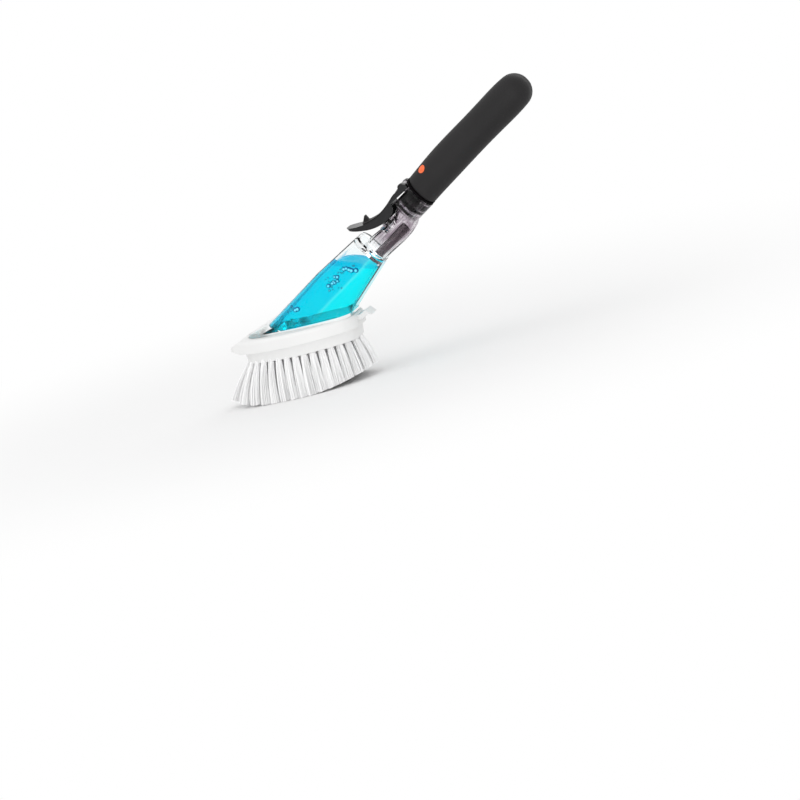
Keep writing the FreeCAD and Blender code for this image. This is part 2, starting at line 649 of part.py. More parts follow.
def tuft_anchors():
    """The flat wire staple that holds each tuft at the bottom of its hole."""
    anchors = []
    top = Z_BLOCK + TUFT_HOLE_DEPTH
    for x, y in all_tuft_places():
        anchors.append(box(x - TUFT_ROOT_RADIUS * 0.9, x + TUFT_ROOT_RADIUS * 0.9, y - ANCHOR_THICKNESS / 2,
                           y + ANCHOR_THICKNESS / 2, top - ANCHOR_HEIGHT, top))
    return anchors


# The thumb lever, drawn about its pivot

def at_pivot(points, rise=0.0):
    return [PIVOT + Vec(along, 0, above + rise) for along, above in points]


def released(shape):
    """Turn a lever piece from the pose that is drawn to its released pose."""
    shape.rotate(PIVOT, Vec(0, 1, 0), LEVER_SHOWN_PRESS)
    return shape


def across_prism(edges, width):
    """A side outline made into a solid, centred on the mid plane."""
    solid = Part.Face(Part.Wire(edges)).extrude(Vec(0, width, 0))
    solid.translate(Vec(0, -width / 2, 0))
    return solid


def plan_block(front, rear, width, radius):
    """An upright block with rounded corners, in the lever's plan."""
    across = Vec(0, 1, 0)
    centre = PIVOT + Vec(-(front + rear) / 2, 0, -FAR / 2)
    wire = rounded_rectangle(width, front - rear, radius, centre, across, Vec(-1, 0, 0))
    return Part.Face(wire).extrude(Vec(0, 0, FAR))


def lever():
    """A curled channel whose rear end straddles the ear and turns on the pin."""
    top = at_pivot(LEVER_TOP)
    below = at_pivot(LEVER_BELOW)
    heel = at_pivot([(HEEL_REAR, -HEEL_SLOPE), (HEEL_REAR, HEEL_CORNER - HEEL_DROP),
                     (HEEL_REAR - HEEL_CORNER, -HEEL_DROP), (-STEM_LENGTH, -HEEL_DROP)])
    side = across_prism([spline(top), Part.makePolygon([top[-1]] + heel + [below[-1]]), spline(below),
                         Part.makeLine(below[0], top[0])], LEVER_WIDTH)
    ceiling = at_pivot(LEVER_TOP[:-1], -LEVER_PLATE)
    deep = Vec(0, 0, -FAR)
    inside_width = LEVER_WIDTH - 2 * LEVER_SKIRT
    inside = across_prism([spline(ceiling), Part.makeLine(ceiling[-1], ceiling[-1] + deep),
                           Part.makeLine(ceiling[-1] + deep, ceiling[0] + deep),
                           Part.makeLine(ceiling[0] + deep, ceiling[0])], inside_width)
    tip_wall = LEVER_LENGTH - LEVER_SKIRT - LEVER_TIP_RADIUS / 2
    inside = inside.common(plan_block(tip_wall, -EYE_RADIUS, inside_width, LEVER_TIP_RADIUS / 2))
    outline = plan_block(LEVER_LENGTH, -LEVER_TIP_RADIUS - EYE_RADIUS, LEVER_WIDTH, LEVER_TIP_RADIUS)
    slot_half = EAR_WIDTH / 2 + EAR_CLEARANCE
    slot = box(PIN_ALONG - EAR_RADIUS - EAR_CLEARANCE, FAR, -slot_half, slot_half, -FAR, FAR)
    eye = across_axis(EYE_RADIUS, LEVER_WIDTH, PIVOT)
    hole = across_axis(PIN_RADIUS + PIN_CLEARANCE, PIN_LENGTH + 2 * PIN_CLEARANCE, PIVOT)
    arm = released(side.common(outline).cut(inside).fuse(eye).cut(slot))
    nub_centre = Vec(PUMP_ALONG, 0, PLUNGER_TOP + PUMP_FIT + NUB_RADIUS)
    nub = across_axis(NUB_RADIUS, NUB_WIDTH, nub_centre)
    return arm.fuse(nub).cut(hole).removeSplitter()


def thumb_pad():
    """The soft pad on the lever, with its stop fin."""
    base = at_pivot(LEVER_TOP)
    raised = at_pivot(LEVER_TOP, PAD_THICKNESS)
    skin = across_prism([spline(base), Part.makeLine(base[-1], raised[-1]), spline(raised),
                         Part.makeLine(raised[0], base[0])], LEVER_WIDTH)
    pad_width = LEVER_WIDTH - 2 * PAD_MARGIN
    pad = skin.common(plan_block(PAD_FRONT, PAD_REAR, pad_width, PAD_MARGIN * 2))
    fin_low = LEVER_TOP[2][1]
    fin_top = fin_low + FIN_HEIGHT
    fin_front = -FIN_REAR - FIN_LENGTH
    fin_points = at_pivot([(fin_front, fin_low + PAD_THICKNESS + 2), (-FIN_REAR - FIN_TOP, fin_top),
                           (-FIN_REAR, fin_top - FIN_TOP), (-FIN_REAR, fin_low - LEVER_PLATE),
                           (fin_front, fin_low - LEVER_PLATE)])
    fin = across_prism([Part.makePolygon(fin_points + fin_points[:1])], FIN_WIDTH)
    under = across_prism([spline(base), Part.makeLine(base[-1], base[-1] - Vec(0, 0, FAR)),
                          Part.makeLine(base[-1] - Vec(0, 0, FAR), base[0] - Vec(0, 0, FAR)),
                          Part.makeLine(base[0] - Vec(0, 0, FAR), base[0])], LEVER_WIDTH)
    return released(pad.fuse(fin.cut(under)).removeSplitter())


def lever_pin():
    return across_axis(PIN_RADIUS, PIN_LENGTH, PIVOT)


# The pump

def pump_diaphragm():
    """Silicone disc: a clamped flange, a thin skin and a middle pad under the plunger."""
    flange = PUMP_RECESS_RADIUS - PUMP_FIT
    skin_low = PUMP_RING_LOW - DIAPHRAGM_SKIN
    return turned([(0, PUMP_SEAT), (PLUNGER_RADIUS, PUMP_SEAT), (PLUNGER_RADIUS, skin_low),
                   (PUMP_BORE_RADIUS, skin_low), (PUMP_BORE_RADIUS, PUMP_SEAT), (flange, PUMP_SEAT),
                   (flange, PUMP_RING_LOW), (PLUNGER_RADIUS, PUMP_RING_LOW), (PLUNGER_RADIUS, PUMP_PAD_TOP),
                   (0, PUMP_PAD_TOP)], PUMP_ALONG)


def diaphragm_ring():
    ring = upright(PUMP_RECESS_RADIUS - PUMP_FIT, PUMP_RING_LOW, PUMP_RING_TOP, PUMP_ALONG)
    return ring.cut(upright(PUMP_RING_BORE, PUMP_RING_LOW - 1, PUMP_RING_TOP + 1, PUMP_ALONG))


def plunger():
    stem = upright(PLUNGER_RADIUS, PUMP_PAD_TOP + PUMP_FIT, PLUNGER_TOP, PUMP_ALONG)
    head = upright(PLUNGER_HEAD_RADIUS, PLUNGER_HEAD_LOW, PLUNGER_TOP, PUMP_ALONG)
    return stem.fuse(head).removeSplitter()


def biarc(start, start_way, end, end_way):
    """Two arcs that join two points and keep the direction at both."""
    gap = end - start
    ways = start_way + end_way
    spread = 2 * (1 - start_way.dot(end_way))
    reach = (-gap.dot(ways) + math.sqrt(gap.dot(ways) ** 2 + spread * gap.dot(gap))) / spread
    middle = (start + end + (start_way - end_way) * reach) * 0.5
    arcs = []
    halves = ((start, middle, start + start_way * reach), (middle, end, end - end_way * reach))
    for first, last, corner in halves:
        chord_middle = (first + last) * 0.5
        half_turn = math.acos(min(1.0, (last - first).Length / 2 / reach))
        share = math.tan(half_turn / 2) / math.tan(half_turn)
        arcs.append(Part.Arc(first, chord_middle + (corner - chord_middle) * share, last).toShape())
    return arcs


def return_spring():
    """One tube wound round the plunger, from the ring up to the plunger's head."""
    low = PUMP_RING_TOP + SPRING_WIRE / 2 + PUMP_FIT
    rise = PLUNGER_HEAD_LOW - PUMP_RING_TOP - SPRING_WIRE - 2 * PUMP_FIT
    steps = SPRING_TURNS * 4
    points = []
    ways = []
    for step in range(steps + 1):
        turn = math.pi / 2 * step
        points.append(Vec(PUMP_ALONG + SPRING_RADIUS * math.cos(turn), SPRING_RADIUS * math.sin(turn),
                          low + rise * step / steps))
        way = Vec(-math.sin(turn), math.cos(turn), rise / (SPRING_TURNS * 2 * math.pi * SPRING_RADIUS))
        ways.append(way.normalize())
    edges = [Part.makeLine(points[0] - Vec(0, SPRING_WIRE, 0), points[0])]
    ways[0] = Vec(0, 1, 0)
    ways[-1] = Vec(0, 1, 0)
    for step in range(steps):
        edges.extend(biarc(points[step], ways[step], points[step + 1], ways[step + 1]))
    edges.append(Part.makeLine(points[-1], points[-1] + Vec(0, SPRING_WIRE, 0)))
    path = Part.Wire(edges)
    ring = Part.Wire(Part.makeCircle(SPRING_WIRE / 2, edges[0].Vertexes[0].Point, Vec(0, 1, 0)))
    tube = Part.BRepOffsetAPI.MakePipeShell(path)
    tube.add(ring)
    tube.build()
    tube.makeSolid()
    print("spring least gap", round(self_gap(path), 2))
    return tube.shape()


def self_gap(path):
    """Least clear space between turns of the spring's wire, on points."""
    points = path.discretize(Distance=SPRING_WIRE / 2)
    near = int(math.pi * SPRING_RADIUS / (SPRING_WIRE / 2))
    least = FAR
    for first in range(len(points)):
        for second in range(first + near, len(points)):
            least = min(least, (points[first] - points[second]).Length)
    return least - SPRING_WIRE


# The handle

def grip_section(along, inset):
    """The handle's section: it swells from the front, then stays even, and its end is rounded off."""
    share = min(1.0, along / GRIP_SWELL_LENGTH)
    swell = math.sin(share * math.pi / 2)
    depth = GRIP_FRONT_DEPTH + (GRIP_DEPTH - GRIP_FRONT_DEPTH) * swell
    width = GRIP_FRONT_WIDTH + (GRIP_WIDTH - GRIP_FRONT_WIDTH) * swell
    rise = GRIP_FRONT_RISE + (GRIP_RISE - GRIP_FRONT_RISE) * swell
    into_end = (along - (GRIP_LENGTH - GRIP_END_ROUND)) / GRIP_END_ROUND
    if into_end > 0:
        inset = inset + GRIP_END_ROUND * (1 - math.sqrt(1 - min(into_end, 0.985) ** 2))
    radius = depth * 0.46 - inset
    return level_section(GRIP_ALONG + along, rise - depth / 2 + inset, rise + depth / 2 - inset,
                         width - 2 * inset, radius)


def grip_blank(inset, end):
    """The handle's outer form, shrunk by the inset and ended early for the core."""
    straight = GRIP_LENGTH - GRIP_END_ROUND
    stations = [0.0, GRIP_SWELL_LENGTH / 3, GRIP_SWELL_LENGTH, (GRIP_SWELL_LENGTH + straight) / 2, straight]
    for share in (0.4, 0.7, 0.9, 0.985):
        station = straight + GRIP_END_ROUND * share
        if station <= end:
            stations.append(station)
    return Part.makeLoft([grip_section(station, inset) for station in stations], True, False)


def dot_tool():
    """A round plug that stands on the grip's upper near side."""
    lean = math.radians(DOT_LEAN)
    outward = Vec(0, -math.sin(lean), math.cos(lean))
    centre = Vec(GRIP_ALONG + DOT_ALONG, 0, GRIP_RISE)
    return Part.makeCylinder(DOT_RADIUS, GRIP_WIDTH, centre, outward)


def core_blank():
    return grip_blank(GRIP_SKIN, GRIP_LENGTH - GRIP_END_ROUND * 0.5)


def grip_sleeve():
    return grip_blank(0, GRIP_LENGTH).cut([core_blank(), dot_tool()])


def grip_dot():
    skin = grip_blank(0, GRIP_LENGTH).cut(grip_blank(DOT_DEPTH, GRIP_LENGTH))
    return dot_tool().common(skin)


def handle_core():
    """The dark core: plug with seal groove and bayonet lugs, front flange and hollow spine."""
    plug = along_axis(PLUG_RADIUS, PLUG_ALONG, FLANGE_ALONG + 1, COLLAR_RISE)
    seal_middle = PLUG_ALONG + SEAL_ALONG
    groove_floor = BORE_RADIUS - SEAL_WIRE - PUMP_FIT
    groove_half = SEAL_WIRE * 0.6
    groove = along_axis(PLUG_RADIUS + 1, seal_middle - groove_half, seal_middle + groove_half, COLLAR_RISE)
    groove = groove.cut(along_axis(groove_floor, PLUG_ALONG, COLLAR_END, COLLAR_RISE))
    middle = COLLAR_END - LUG_ALONG
    lug = box(middle - LUG_SIZE / 2, middle + LUG_SIZE / 2, 0, PLUG_RADIUS + LUG_HEIGHT,
              COLLAR_RISE - LUG_SIZE / 2, COLLAR_RISE + LUG_SIZE / 2)
    lug.rotate(Vec(0, 0, COLLAR_RISE), Vec(1, 0, 0), LUG_REST_ANGLE)
    other_lug = lug.copy()
    other_lug.rotate(Vec(0, 0, COLLAR_RISE), Vec(1, 0, 0), 180)
    front = grip_section(0, 0)
    flange = Part.Face(front).extrude(Vec(-FLANGE_THICKNESS, 0, 0))
    hollow = grip_blank(GRIP_SKIN + CORE_WALL, GRIP_LENGTH - GRIP_END_ROUND * 0.5)
    hollow = hollow.common(box(GRIP_ALONG + CORE_WALL, FAR, -FAR, FAR, -FAR, FAR))
    spine = core_blank().cut(hollow)
    return plug.cut(groove).fuse([lug, other_lug, flange, spine]).removeSplitter()


def plug_seal():
    centre = Vec(PLUG_ALONG + SEAL_ALONG, 0, COLLAR_RISE)
    radius = BORE_RADIUS - SEAL_WIRE / 2 - PUMP_FIT / 2
    return Part.makeTorus(radius, SEAL_WIRE / 2, centre, Vec(1, 0, 0))


os.makedirs("parts", exist_ok=True)
save("reservoir_body", leaning(reservoir_body()))
save("air_tube", leaning(air_tube()))
save("soap_charge", leaning(soap_charge()))
save("floor_plate", floor_plate())
save("outlet_valve", outlet_valve())
save("valve_retainer", valve_retainer())
save("outlet_gasket", outlet_gasket())
save("head_carrier", head_carrier())
save("tuft_block", tuft_block())
trim = trim_tool()
save("tufts_outer", Part.makeCompound(tufts(0, trim)))
save("tufts_middle", Part.makeCompound(tufts(1, trim)))
save("tufts_inner", Part.makeCompound(tufts(2, trim) + tufts(3, trim)))
save("tuft_anchors", Part.makeCompound(tuft_anchors()))
save("lever", leaning(lever()))
save("thumb_pad", leaning(thumb_pad()))
save("lever_pin", leaning(lever_pin()))
save("pump_diaphragm", leaning(pump_diaphragm()))
save("diaphragm_ring", leaning(diaphragm_ring()))
save("plunger", leaning(plunger()))
save("return_spring", leaning(return_spring()))
save("grip_sleeve", leaning(grip_sleeve()))
save("grip_dot", leaning(grip_dot()))
save("handle_core", leaning(handle_core()))
save("plug_seal", leaning(plug_seal()))
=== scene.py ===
import json
import math

import bmesh
import bpy
from mathutils import Matrix, Vector, noise
from mathutils.bvhtree import BVHTree


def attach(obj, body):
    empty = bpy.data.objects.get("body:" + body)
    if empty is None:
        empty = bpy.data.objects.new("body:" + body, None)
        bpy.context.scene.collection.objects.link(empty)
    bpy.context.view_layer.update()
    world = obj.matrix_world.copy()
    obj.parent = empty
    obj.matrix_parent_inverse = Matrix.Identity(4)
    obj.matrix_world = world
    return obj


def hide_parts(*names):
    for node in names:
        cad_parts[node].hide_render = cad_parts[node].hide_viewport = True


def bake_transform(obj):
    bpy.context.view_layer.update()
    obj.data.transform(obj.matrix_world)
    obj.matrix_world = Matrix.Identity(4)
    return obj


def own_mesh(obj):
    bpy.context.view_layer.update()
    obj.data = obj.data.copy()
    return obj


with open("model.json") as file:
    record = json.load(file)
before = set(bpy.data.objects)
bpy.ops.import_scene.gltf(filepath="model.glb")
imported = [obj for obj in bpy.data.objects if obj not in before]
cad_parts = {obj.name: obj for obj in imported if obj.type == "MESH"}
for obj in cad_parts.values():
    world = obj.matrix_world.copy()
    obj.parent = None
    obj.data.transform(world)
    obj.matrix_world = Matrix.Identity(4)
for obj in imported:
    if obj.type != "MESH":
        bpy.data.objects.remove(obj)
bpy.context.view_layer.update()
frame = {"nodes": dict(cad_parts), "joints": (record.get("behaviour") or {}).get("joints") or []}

# Camera: a long lens a little above the bristles, turned so that the wand leans as it does in use.
# The frame is square, and a point by the brush head fixes where the wand sits in it.
VIEW_AZIMUTH = math.radians(17.0)
VIEW_ELEVATION = math.radians(9.0)
VIEW_ROLL = math.radians(16.0)
VIEW_DISTANCE = 8.0
SENSOR_WIDTH = 36.0
FRAME_WIDTH = 0.520
FRAME_PIXELS = 800
HEAD_POINT = Vector((0.0, 0.0, 0.0287))
HEAD_PIXEL = (305, 345)

right = Vector((math.cos(VIEW_AZIMUTH), math.sin(VIEW_AZIMUTH), 0.0))
back = Vector((math.sin(VIEW_AZIMUTH) * math.cos(VIEW_ELEVATION),
               -math.cos(VIEW_AZIMUTH) * math.cos(VIEW_ELEVATION), math.sin(VIEW_ELEVATION)))
up = back.cross(right)
rolled_right = right * math.cos(VIEW_ROLL) - up * math.sin(VIEW_ROLL)
rolled_up = right * math.sin(VIEW_ROLL) + up * math.cos(VIEW_ROLL)
pixel = FRAME_WIDTH / FRAME_PIXELS
aim = (HEAD_POINT + rolled_right * ((FRAME_PIXELS / 2 - HEAD_PIXEL[0]) * pixel)
       - rolled_up * ((FRAME_PIXELS / 2 - HEAD_PIXEL[1]) * pixel))
camera = bpy.data.objects.new("camera", bpy.data.cameras.new("camera"))
camera.data.sensor_width = SENSOR_WIDTH
camera.data.lens = SENSOR_WIDTH * VIEW_DISTANCE / FRAME_WIDTH
camera.data.dof.use_dof = False
turned = Matrix((rolled_right, rolled_up, back)).transposed()
camera.matrix_world = Matrix.Translation(aim + back * VIEW_DISTANCE) @ turned.to_4x4()
bpy.context.scene.collection.objects.link(camera)
bpy.context.scene.camera = camera
bpy.context.scene.view_settings.view_transform = "Standard"

# Studio: a white floor under the bristle tips that keeps the shadow and fades to plain white,
# a white room, and soft lamps above, in front and behind.
PLAIN_WHITE = (1.0, 1.0, 1.0, 1.0)
PAPER_WHITE = (0.9, 0.9, 0.9, 1.0)
FLOOR_HALF = 6.0
SHADOW_REACH = 0.45
SHADOW_CORE = 0.25 * SHADOW_REACH
ROOM_LIGHT = 0.85
LAMP_AIM = Vector((0.08, 0.0, 0.07))
# Each lamp's name, place, width and power.
LAMPS = (("lamp_above", Vector((-0.35, -0.45, 1.1)), 0.9, 2.0),
         ("lamp_front", Vector((0.25, -1.25, 0.12)), 0.7, 5.5),
         ("lamp_behind", Vector((0.5, 0.9, 0.7)), 0.8, 1.5))


class Field:
    """A shader socket that takes part in sums; each sum adds its Math node."""

    def __init__(self, tree, socket):
        self.tree = tree
        self.socket = socket

    def feed(self, place, value):
        if isinstance(value, Field):
            self.tree.links.new(value.socket, place)
        else:
            place.default_value = value

    def sum(self, operation, first, second):
        node = self.tree.nodes.new("ShaderNodeMath")
        node.operation = operation
        self.feed(node.inputs[0], first)
        self.feed(node.inputs[1], second)
        return Field(self.tree, node.outputs[0])

    def __add__(self, other):
        return self.sum("ADD", self, other)

    def __radd__(self, other):
        return self.sum("ADD", other, self)

    def __sub__(self, other):
        return self.sum("SUBTRACT", self, other)

    def __rsub__(self, other):
        return self.sum("SUBTRACT", other, self)

    def __mul__(self, other):
        return self.sum("MULTIPLY", self, other)

    def __rmul__(self, other):
        return self.sum("MULTIPLY", other, self)


class Finish:
    """A material, or a world's own tree, with one method that adds any node."""

    def __init__(self, name, tree=None):
        if tree is None:
            self.material = bpy.data.materials.new(name)
            self.material.use_nodes = True
            tree = self.material.node_tree
        self.tree = tree
        self.tree.nodes.clear()

    def node(self, kind, settings, sockets, out=0):
        """A node by its type, its settings and the values or links of its sockets."""
        made = self.tree.nodes.new("ShaderNode" + kind)
        for key, value in settings.items():
            setattr(made, key, value)
        field = Field(self.tree, made.outputs[out] if made.outputs else None)
        for key, value in sockets.items():
            field.feed(made.inputs[key], value)
        return field

    def place(self):
        return self.node("TexCoord", {}, {}, "Object")

    def along(self, axis):
        """How far a point lies along an axis, in metres."""
        return self.node("VectorMath", {"operation": "DOT_PRODUCT"}, {0: self.place(), 1: axis}, "Value")

    def rise(self, value, start, end):
        """A smooth step from 0 at start to 1 at end."""
        return self.node("MapRange", {"interpolation_type": "SMOOTHSTEP"},
                         {"Value": value, "From Min": start, "From Max": end})

    def mix(self, share, first, second):
        """A colour between two colours."""
        return self.node("Mix", {"data_type": "RGBA"}, {0: share, 6: first, 7: second}, 2)

    def noise(self, scale, detail=2.0, roughness=0.5, place=None):
        return self.node("TexNoise", {}, {"Vector": place or self.place(), "Scale": scale,
                                          "Detail": detail, "Roughness": roughness})

    def bump(self, height, depth, strength=1.0):
        """A normal from a height field; depth is in metres."""
        return self.node("Bump", {}, {"Height": height, "Distance": depth, "Strength": strength})

    def seen(self):
        """1 for what is seen, straight or by way of glass and shine, and 0 for the light on things."""
        straight = self.node("LightPath", {}, {}, "Is Camera Ray")
        bent = self.node("LightPath", {}, {}, "Is Transmission Ray")
        shone = self.node("LightPath", {}, {}, "Is Glossy Ray")
        return self.node("Math", {"operation": "MINIMUM"}, {0: straight + bent + shone, 1: 1.0})

    def blended(self, share, first, second):
        """The material with two shaders mixed."""
        shader = self.node("MixShader", {}, {0: share, 1: first, 2: second})
        self.node("OutputMaterial", {}, {"Surface": shader})
        return self.material

    def surface(self, sockets):
        """The material with one shader."""
        shader = self.node("BsdfPrincipled", {}, sockets)
        self.node("OutputMaterial", {}, {"Surface": shader})
        return self.material


paper = Finish("studio_paper")
reach = paper.node("VectorMath", {"operation": "LENGTH"}, {0: paper.place()}, "Value")
fade = paper.rise(reach, SHADOW_CORE, SHADOW_REACH)
matt = paper.node("BsdfDiffuse", {}, {"Color": PAPER_WHITE})
plain = paper.node("Emission", {}, {"Color": PLAIN_WHITE, "Strength": 1.0})
floor_mesh = bpy.data.meshes.new("studio_floor")
floor_mesh.from_pydata([(-FLOOR_HALF, -FLOOR_HALF, 0), (FLOOR_HALF, -FLOOR_HALF, 0),
                        (FLOOR_HALF, FLOOR_HALF, 0), (-FLOOR_HALF, FLOOR_HALF, 0)], [], [(0, 1, 2, 3)])
floor_mesh.materials.append(paper.blended(fade * paper.seen(), matt, plain))
studio_floor = bpy.data.objects.new("studio_floor", floor_mesh)
bpy.context.scene.collection.objects.link(studio_floor)

room = bpy.data.worlds.new("studio_room")
room.use_nodes = True
bpy.context.scene.world = room
air = Finish("studio_room", room.node_tree)
room_strength = ROOM_LIGHT + air.seen() * (1.0 - ROOM_LIGHT)
glow = air.node("Background", {}, {"Color": PLAIN_WHITE, "Strength": room_strength})
air.node("OutputWorld", {}, {"Surface": glow})

for name, place, width, watts in LAMPS:
    lamp = bpy.data.objects.new(name, bpy.data.lights.new(name, "AREA"))
    lamp.data.size = width
    lamp.data.energy = watts
    lamp.location = place
    lamp.rotation_euler = (LAMP_AIM - place).to_track_quat("-Z", "Y").to_euler()
    bpy.context.scene.collection.objects.link(lamp)

# Reservoir: one clear moulding with its shell, neck and collar. It is injection moulded and glossy,
# with faint flow ripples in the wall, darker streaks along the neck that are painted shade for the dark
# things seen through it, and a satin collar. A blue film shows where the soap has run back.
ACROSS = Vector((0.0, 1.0, 0.0))
SOAP_UP = Vector((0.317, 0.0, 0.948)).normalized()
SHELL_CLEAR = ((0.97, 0.99, 0.99, 1.0), (0.99, 1.0, 1.0, 1.0))
STYRENE_IOR = 1.49
STYRENE_SHINE = (0.35, 0.35, 0.35, 1.0)
FILM_HEIGHT = 0.012
FILM_WAVE = 0.006
FILM_SHARE = 0.5
FILM_BLUE = (0.80, 0.97, 1.0, 1.0)
NECK_START = 0.0955
NECK_BLEND = 0.012
NECK_SHADE_STREAKS = ((0.40, 0.34, 0.39, 1.0), (0.97, 0.96, 0.97, 1.0))
NECK_SHADE_SCALE = 430.0
NECK_SHADE_DRAW = 0.05
NECK_SHADE_EDGES = (0.42, 0.62)
COLLAR_START = 0.1265
COLLAR_BLEND = 0.002
COLLAR_SATIN = 0.3
joints = {joint["name"]: joint for joint in frame["joints"]}
neck_axis = Vector(joints["handle_twist"]["axis"])
neck_up = Vector((-neck_axis.z, 0.0, neck_axis.x))
soap_level = max(vertex.co.dot(SOAP_UP) for vertex in frame["nodes"]["soap_charge"].data.vertices)


def dress(material, *nodes):
    """Give carried-over solids their finish."""
    for node in nodes:
        inks = frame["nodes"][node].data.materials
        inks.clear()
        inks.append(material)


clear = Finish("clear_styrene")
ripple = clear.noise(28.0, 1.0)
wave = clear.noise(160.0, 2.0)
film = clear.rise(clear.along(SOAP_UP) + wave * FILM_WAVE, soap_level + FILM_HEIGHT, soap_level)
run_up = clear.along(neck_axis)
in_neck = clear.rise(run_up, NECK_START, NECK_START + NECK_BLEND)
in_collar = clear.rise(run_up, COLLAR_START, COLLAR_START + COLLAR_BLEND)
drawn_out = clear.node("CombineXYZ", {}, {
    0: run_up * NECK_SHADE_DRAW, 1: clear.along(ACROSS), 2: clear.along(neck_up)})
# Painted shade: dark streaks drawn out along the neck, for the shade of dark things seen through it.
neck_shade = clear.rise(clear.noise(NECK_SHADE_SCALE, 2.0, 0.6, drawn_out), *NECK_SHADE_EDGES)
wall = clear.mix(in_neck, clear.mix(ripple, *SHELL_CLEAR), clear.mix(neck_shade, *NECK_SHADE_STREAKS))
clear_plastic = clear.surface({
    "Base Color": clear.mix(film * FILM_SHARE, wall, FILM_BLUE),
    "Roughness": 0.01 + ripple * 0.03 + in_collar * COLLAR_SATIN, "IOR": STYRENE_IOR,
    "Specular Tint": STYRENE_SHINE, "Transmission Weight": 1.0, "Normal": clear.bump(ripple, 0.0003, 0.15)})
dress(clear_plastic, "reservoir_body")

# Plinth: the floor of the reservoir with its toe, welded under the shell. Its floor shines, as light is
# turned back at its underside, and the thick plastic of the toe is clear and a little green.
TOE_END = -0.022
TOE_BLEND = 0.008
TOE_GREEN = ((0.80, 0.90, 0.86, 1.0), (0.90, 0.96, 0.93, 1.0))
PLINTH_CLEAR = (0.96, 0.985, 0.985, 1.0)
PLINTH_SHINE = ((0.93, 0.97, 0.97, 1.0), (0.97, 0.99, 0.99, 1.0))
FLOOR_SHARE = 0.92
TOE_SHARE = 0.42
toe = Finish("clear_toe")
ripple = toe.noise(80.0, 1.0)
in_toe = toe.rise(toe.along((1.0, 0.0, 0.0)), TOE_END + TOE_BLEND, TOE_END)
glassy = toe.node("BsdfPrincipled", {}, {
    "Base Color": toe.mix(in_toe, PLINTH_CLEAR, toe.mix(ripple, *TOE_GREEN)),
    "Roughness": 0.03 + ripple * 0.06, "IOR": STYRENE_IOR, "Transmission Weight": 1.0,
    "Normal": toe.bump(ripple, 0.0004, 0.3)})
shiny = toe.node("BsdfPrincipled", {}, {
    "Base Color": toe.mix(ripple, *PLINTH_SHINE), "Metallic": 1.0, "Roughness": 0.08 + ripple * 0.1})
dress(toe.blended(FLOOR_SHARE - in_toe * (FLOOR_SHARE - TOE_SHARE), glassy, shiny), "floor_plate")

# Air tube: a smoke-grey tube of smooth, extruded plastic. It lies along the bore of the neck and is seen
# through its wall. Its dark grey is partly painted shade, for the dark things and shade seen through the
# neck.
SMOKE_AND_SHADE_GREY = ((0.15, 0.12, 0.135, 1.0), (0.22, 0.18, 0.20, 1.0))
smoky_shade = Finish("smoke_and_shade_tube")
ripple = smoky_shade.noise(120.0, 2.0)
smoke_and_shade_plastic = smoky_shade.surface({
    "Base Color": smoky_shade.mix(ripple, *SMOKE_AND_SHADE_GREY), "Roughness": 0.3 + ripple * 0.1,
    "Specular IOR Level": 0.1, "Normal": smoky_shade.bump(ripple, 0.0002, 0.3)})
dress(smoke_and_shade_plastic, "air_tube")

# Soap: clear blue washing-up liquid that fills most of the reservoir. It wets the wall, so its surface
# is seen just under the shell's own, and its level has small waves. Its colour holds painted light: a painted
# highlight along the rear corner, a lighter rear part, and painted shade towards the front and under the
# level.
SOAP_VOXEL = 0.0008
SOAP_ROUNDS = 3
SOAP_GROWTH = 0.0012
WAVE_DEPTH = 0.0007
WAVE_RATE = 130.0
CORNER_PLACE = 0.0322
CORNER_WIDTH = 0.0015
CORNER_HIGHLIGHT_SHARE = 0.5
CORNER_HIGHLIGHT_BLUE = (0.20, 0.98, 1.0, 1.0)
FRONT_PLACE = 0.0495
FRONT_WIDTH = 0.009
FRONT_SHADE_SHARE = 0.2
FRONT_SHADE_BLUE = (0.0, 0.40, 0.84, 1.0)
BRIM_DEPTH = 0.0013
BRIM_SHADE_SHARE = 0.6
BRIM_SHADE_BLUE = (0.0, 0.34, 0.68, 1.0)
DEEP_BLUE = ((0.0, 0.62, 0.90, 1.0), (0.0, 0.88, 0.95, 1.0))
REAR_LIT_BLUE = ((0.0, 0.88, 0.98, 1.0), (0.0, 0.98, 1.0, 1.0))
SWIRL_DEPTH = 0.002
SOAP_IOR = 1.04
MILKY_SHARE = 0.03
MERGE_DISTANCE = 1e-6


def merged(node):
    """A solid's loose triangles, joined at their corners."""
    form = bmesh.new()
    form.from_mesh(frame["nodes"][node].data)
    bmesh.ops.remove_doubles(form, verts=form.verts, dist=MERGE_DISTANCE)
    return form


def smoothed(node, name, voxel, rounds, growth=0.0):
    """A new mesh from a solid: merged, remeshed evenly, smoothed and pushed out."""
    form = merged(node)
    source = bpy.data.objects.new(name, bpy.data.meshes.new(name))
    form.to_mesh(source.data)
    form.free()
    bpy.context.scene.collection.objects.link(source)
    even = source.modifiers.new("even", "REMESH")
    even.mode = "VOXEL"
    even.voxel_size = voxel
    soften = source.modifiers.new("soften", "SMOOTH")
    soften.iterations = rounds
    push = source.modifiers.new("push", "DISPLACE")
    push.strength = growth
    push.mid_level = 0.0
    mesh = bpy.data.meshes.new_from_object(source.evaluated_get(bpy.context.evaluated_depsgraph_get()))
    bpy.data.objects.remove(source)
    mesh.shade_smooth()
    return mesh


def put_in(name, mesh, material):
    """Put a finished mesh in the scene with its finish."""
    mesh.materials.clear()
    mesh.materials.append(material)
    piece = bpy.data.objects.new(name, mesh)
    bpy.context.scene.collection.objects.link(piece)
    return piece


def add_piece(name, mesh, material, body, slot, *nodes):
    """Put a finished mesh in the scene, on its body and in the place of its CAD nodes."""
    piece = put_in(name, mesh, material)
    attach(piece, body)
    if nodes:
        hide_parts(*nodes)
    return piece


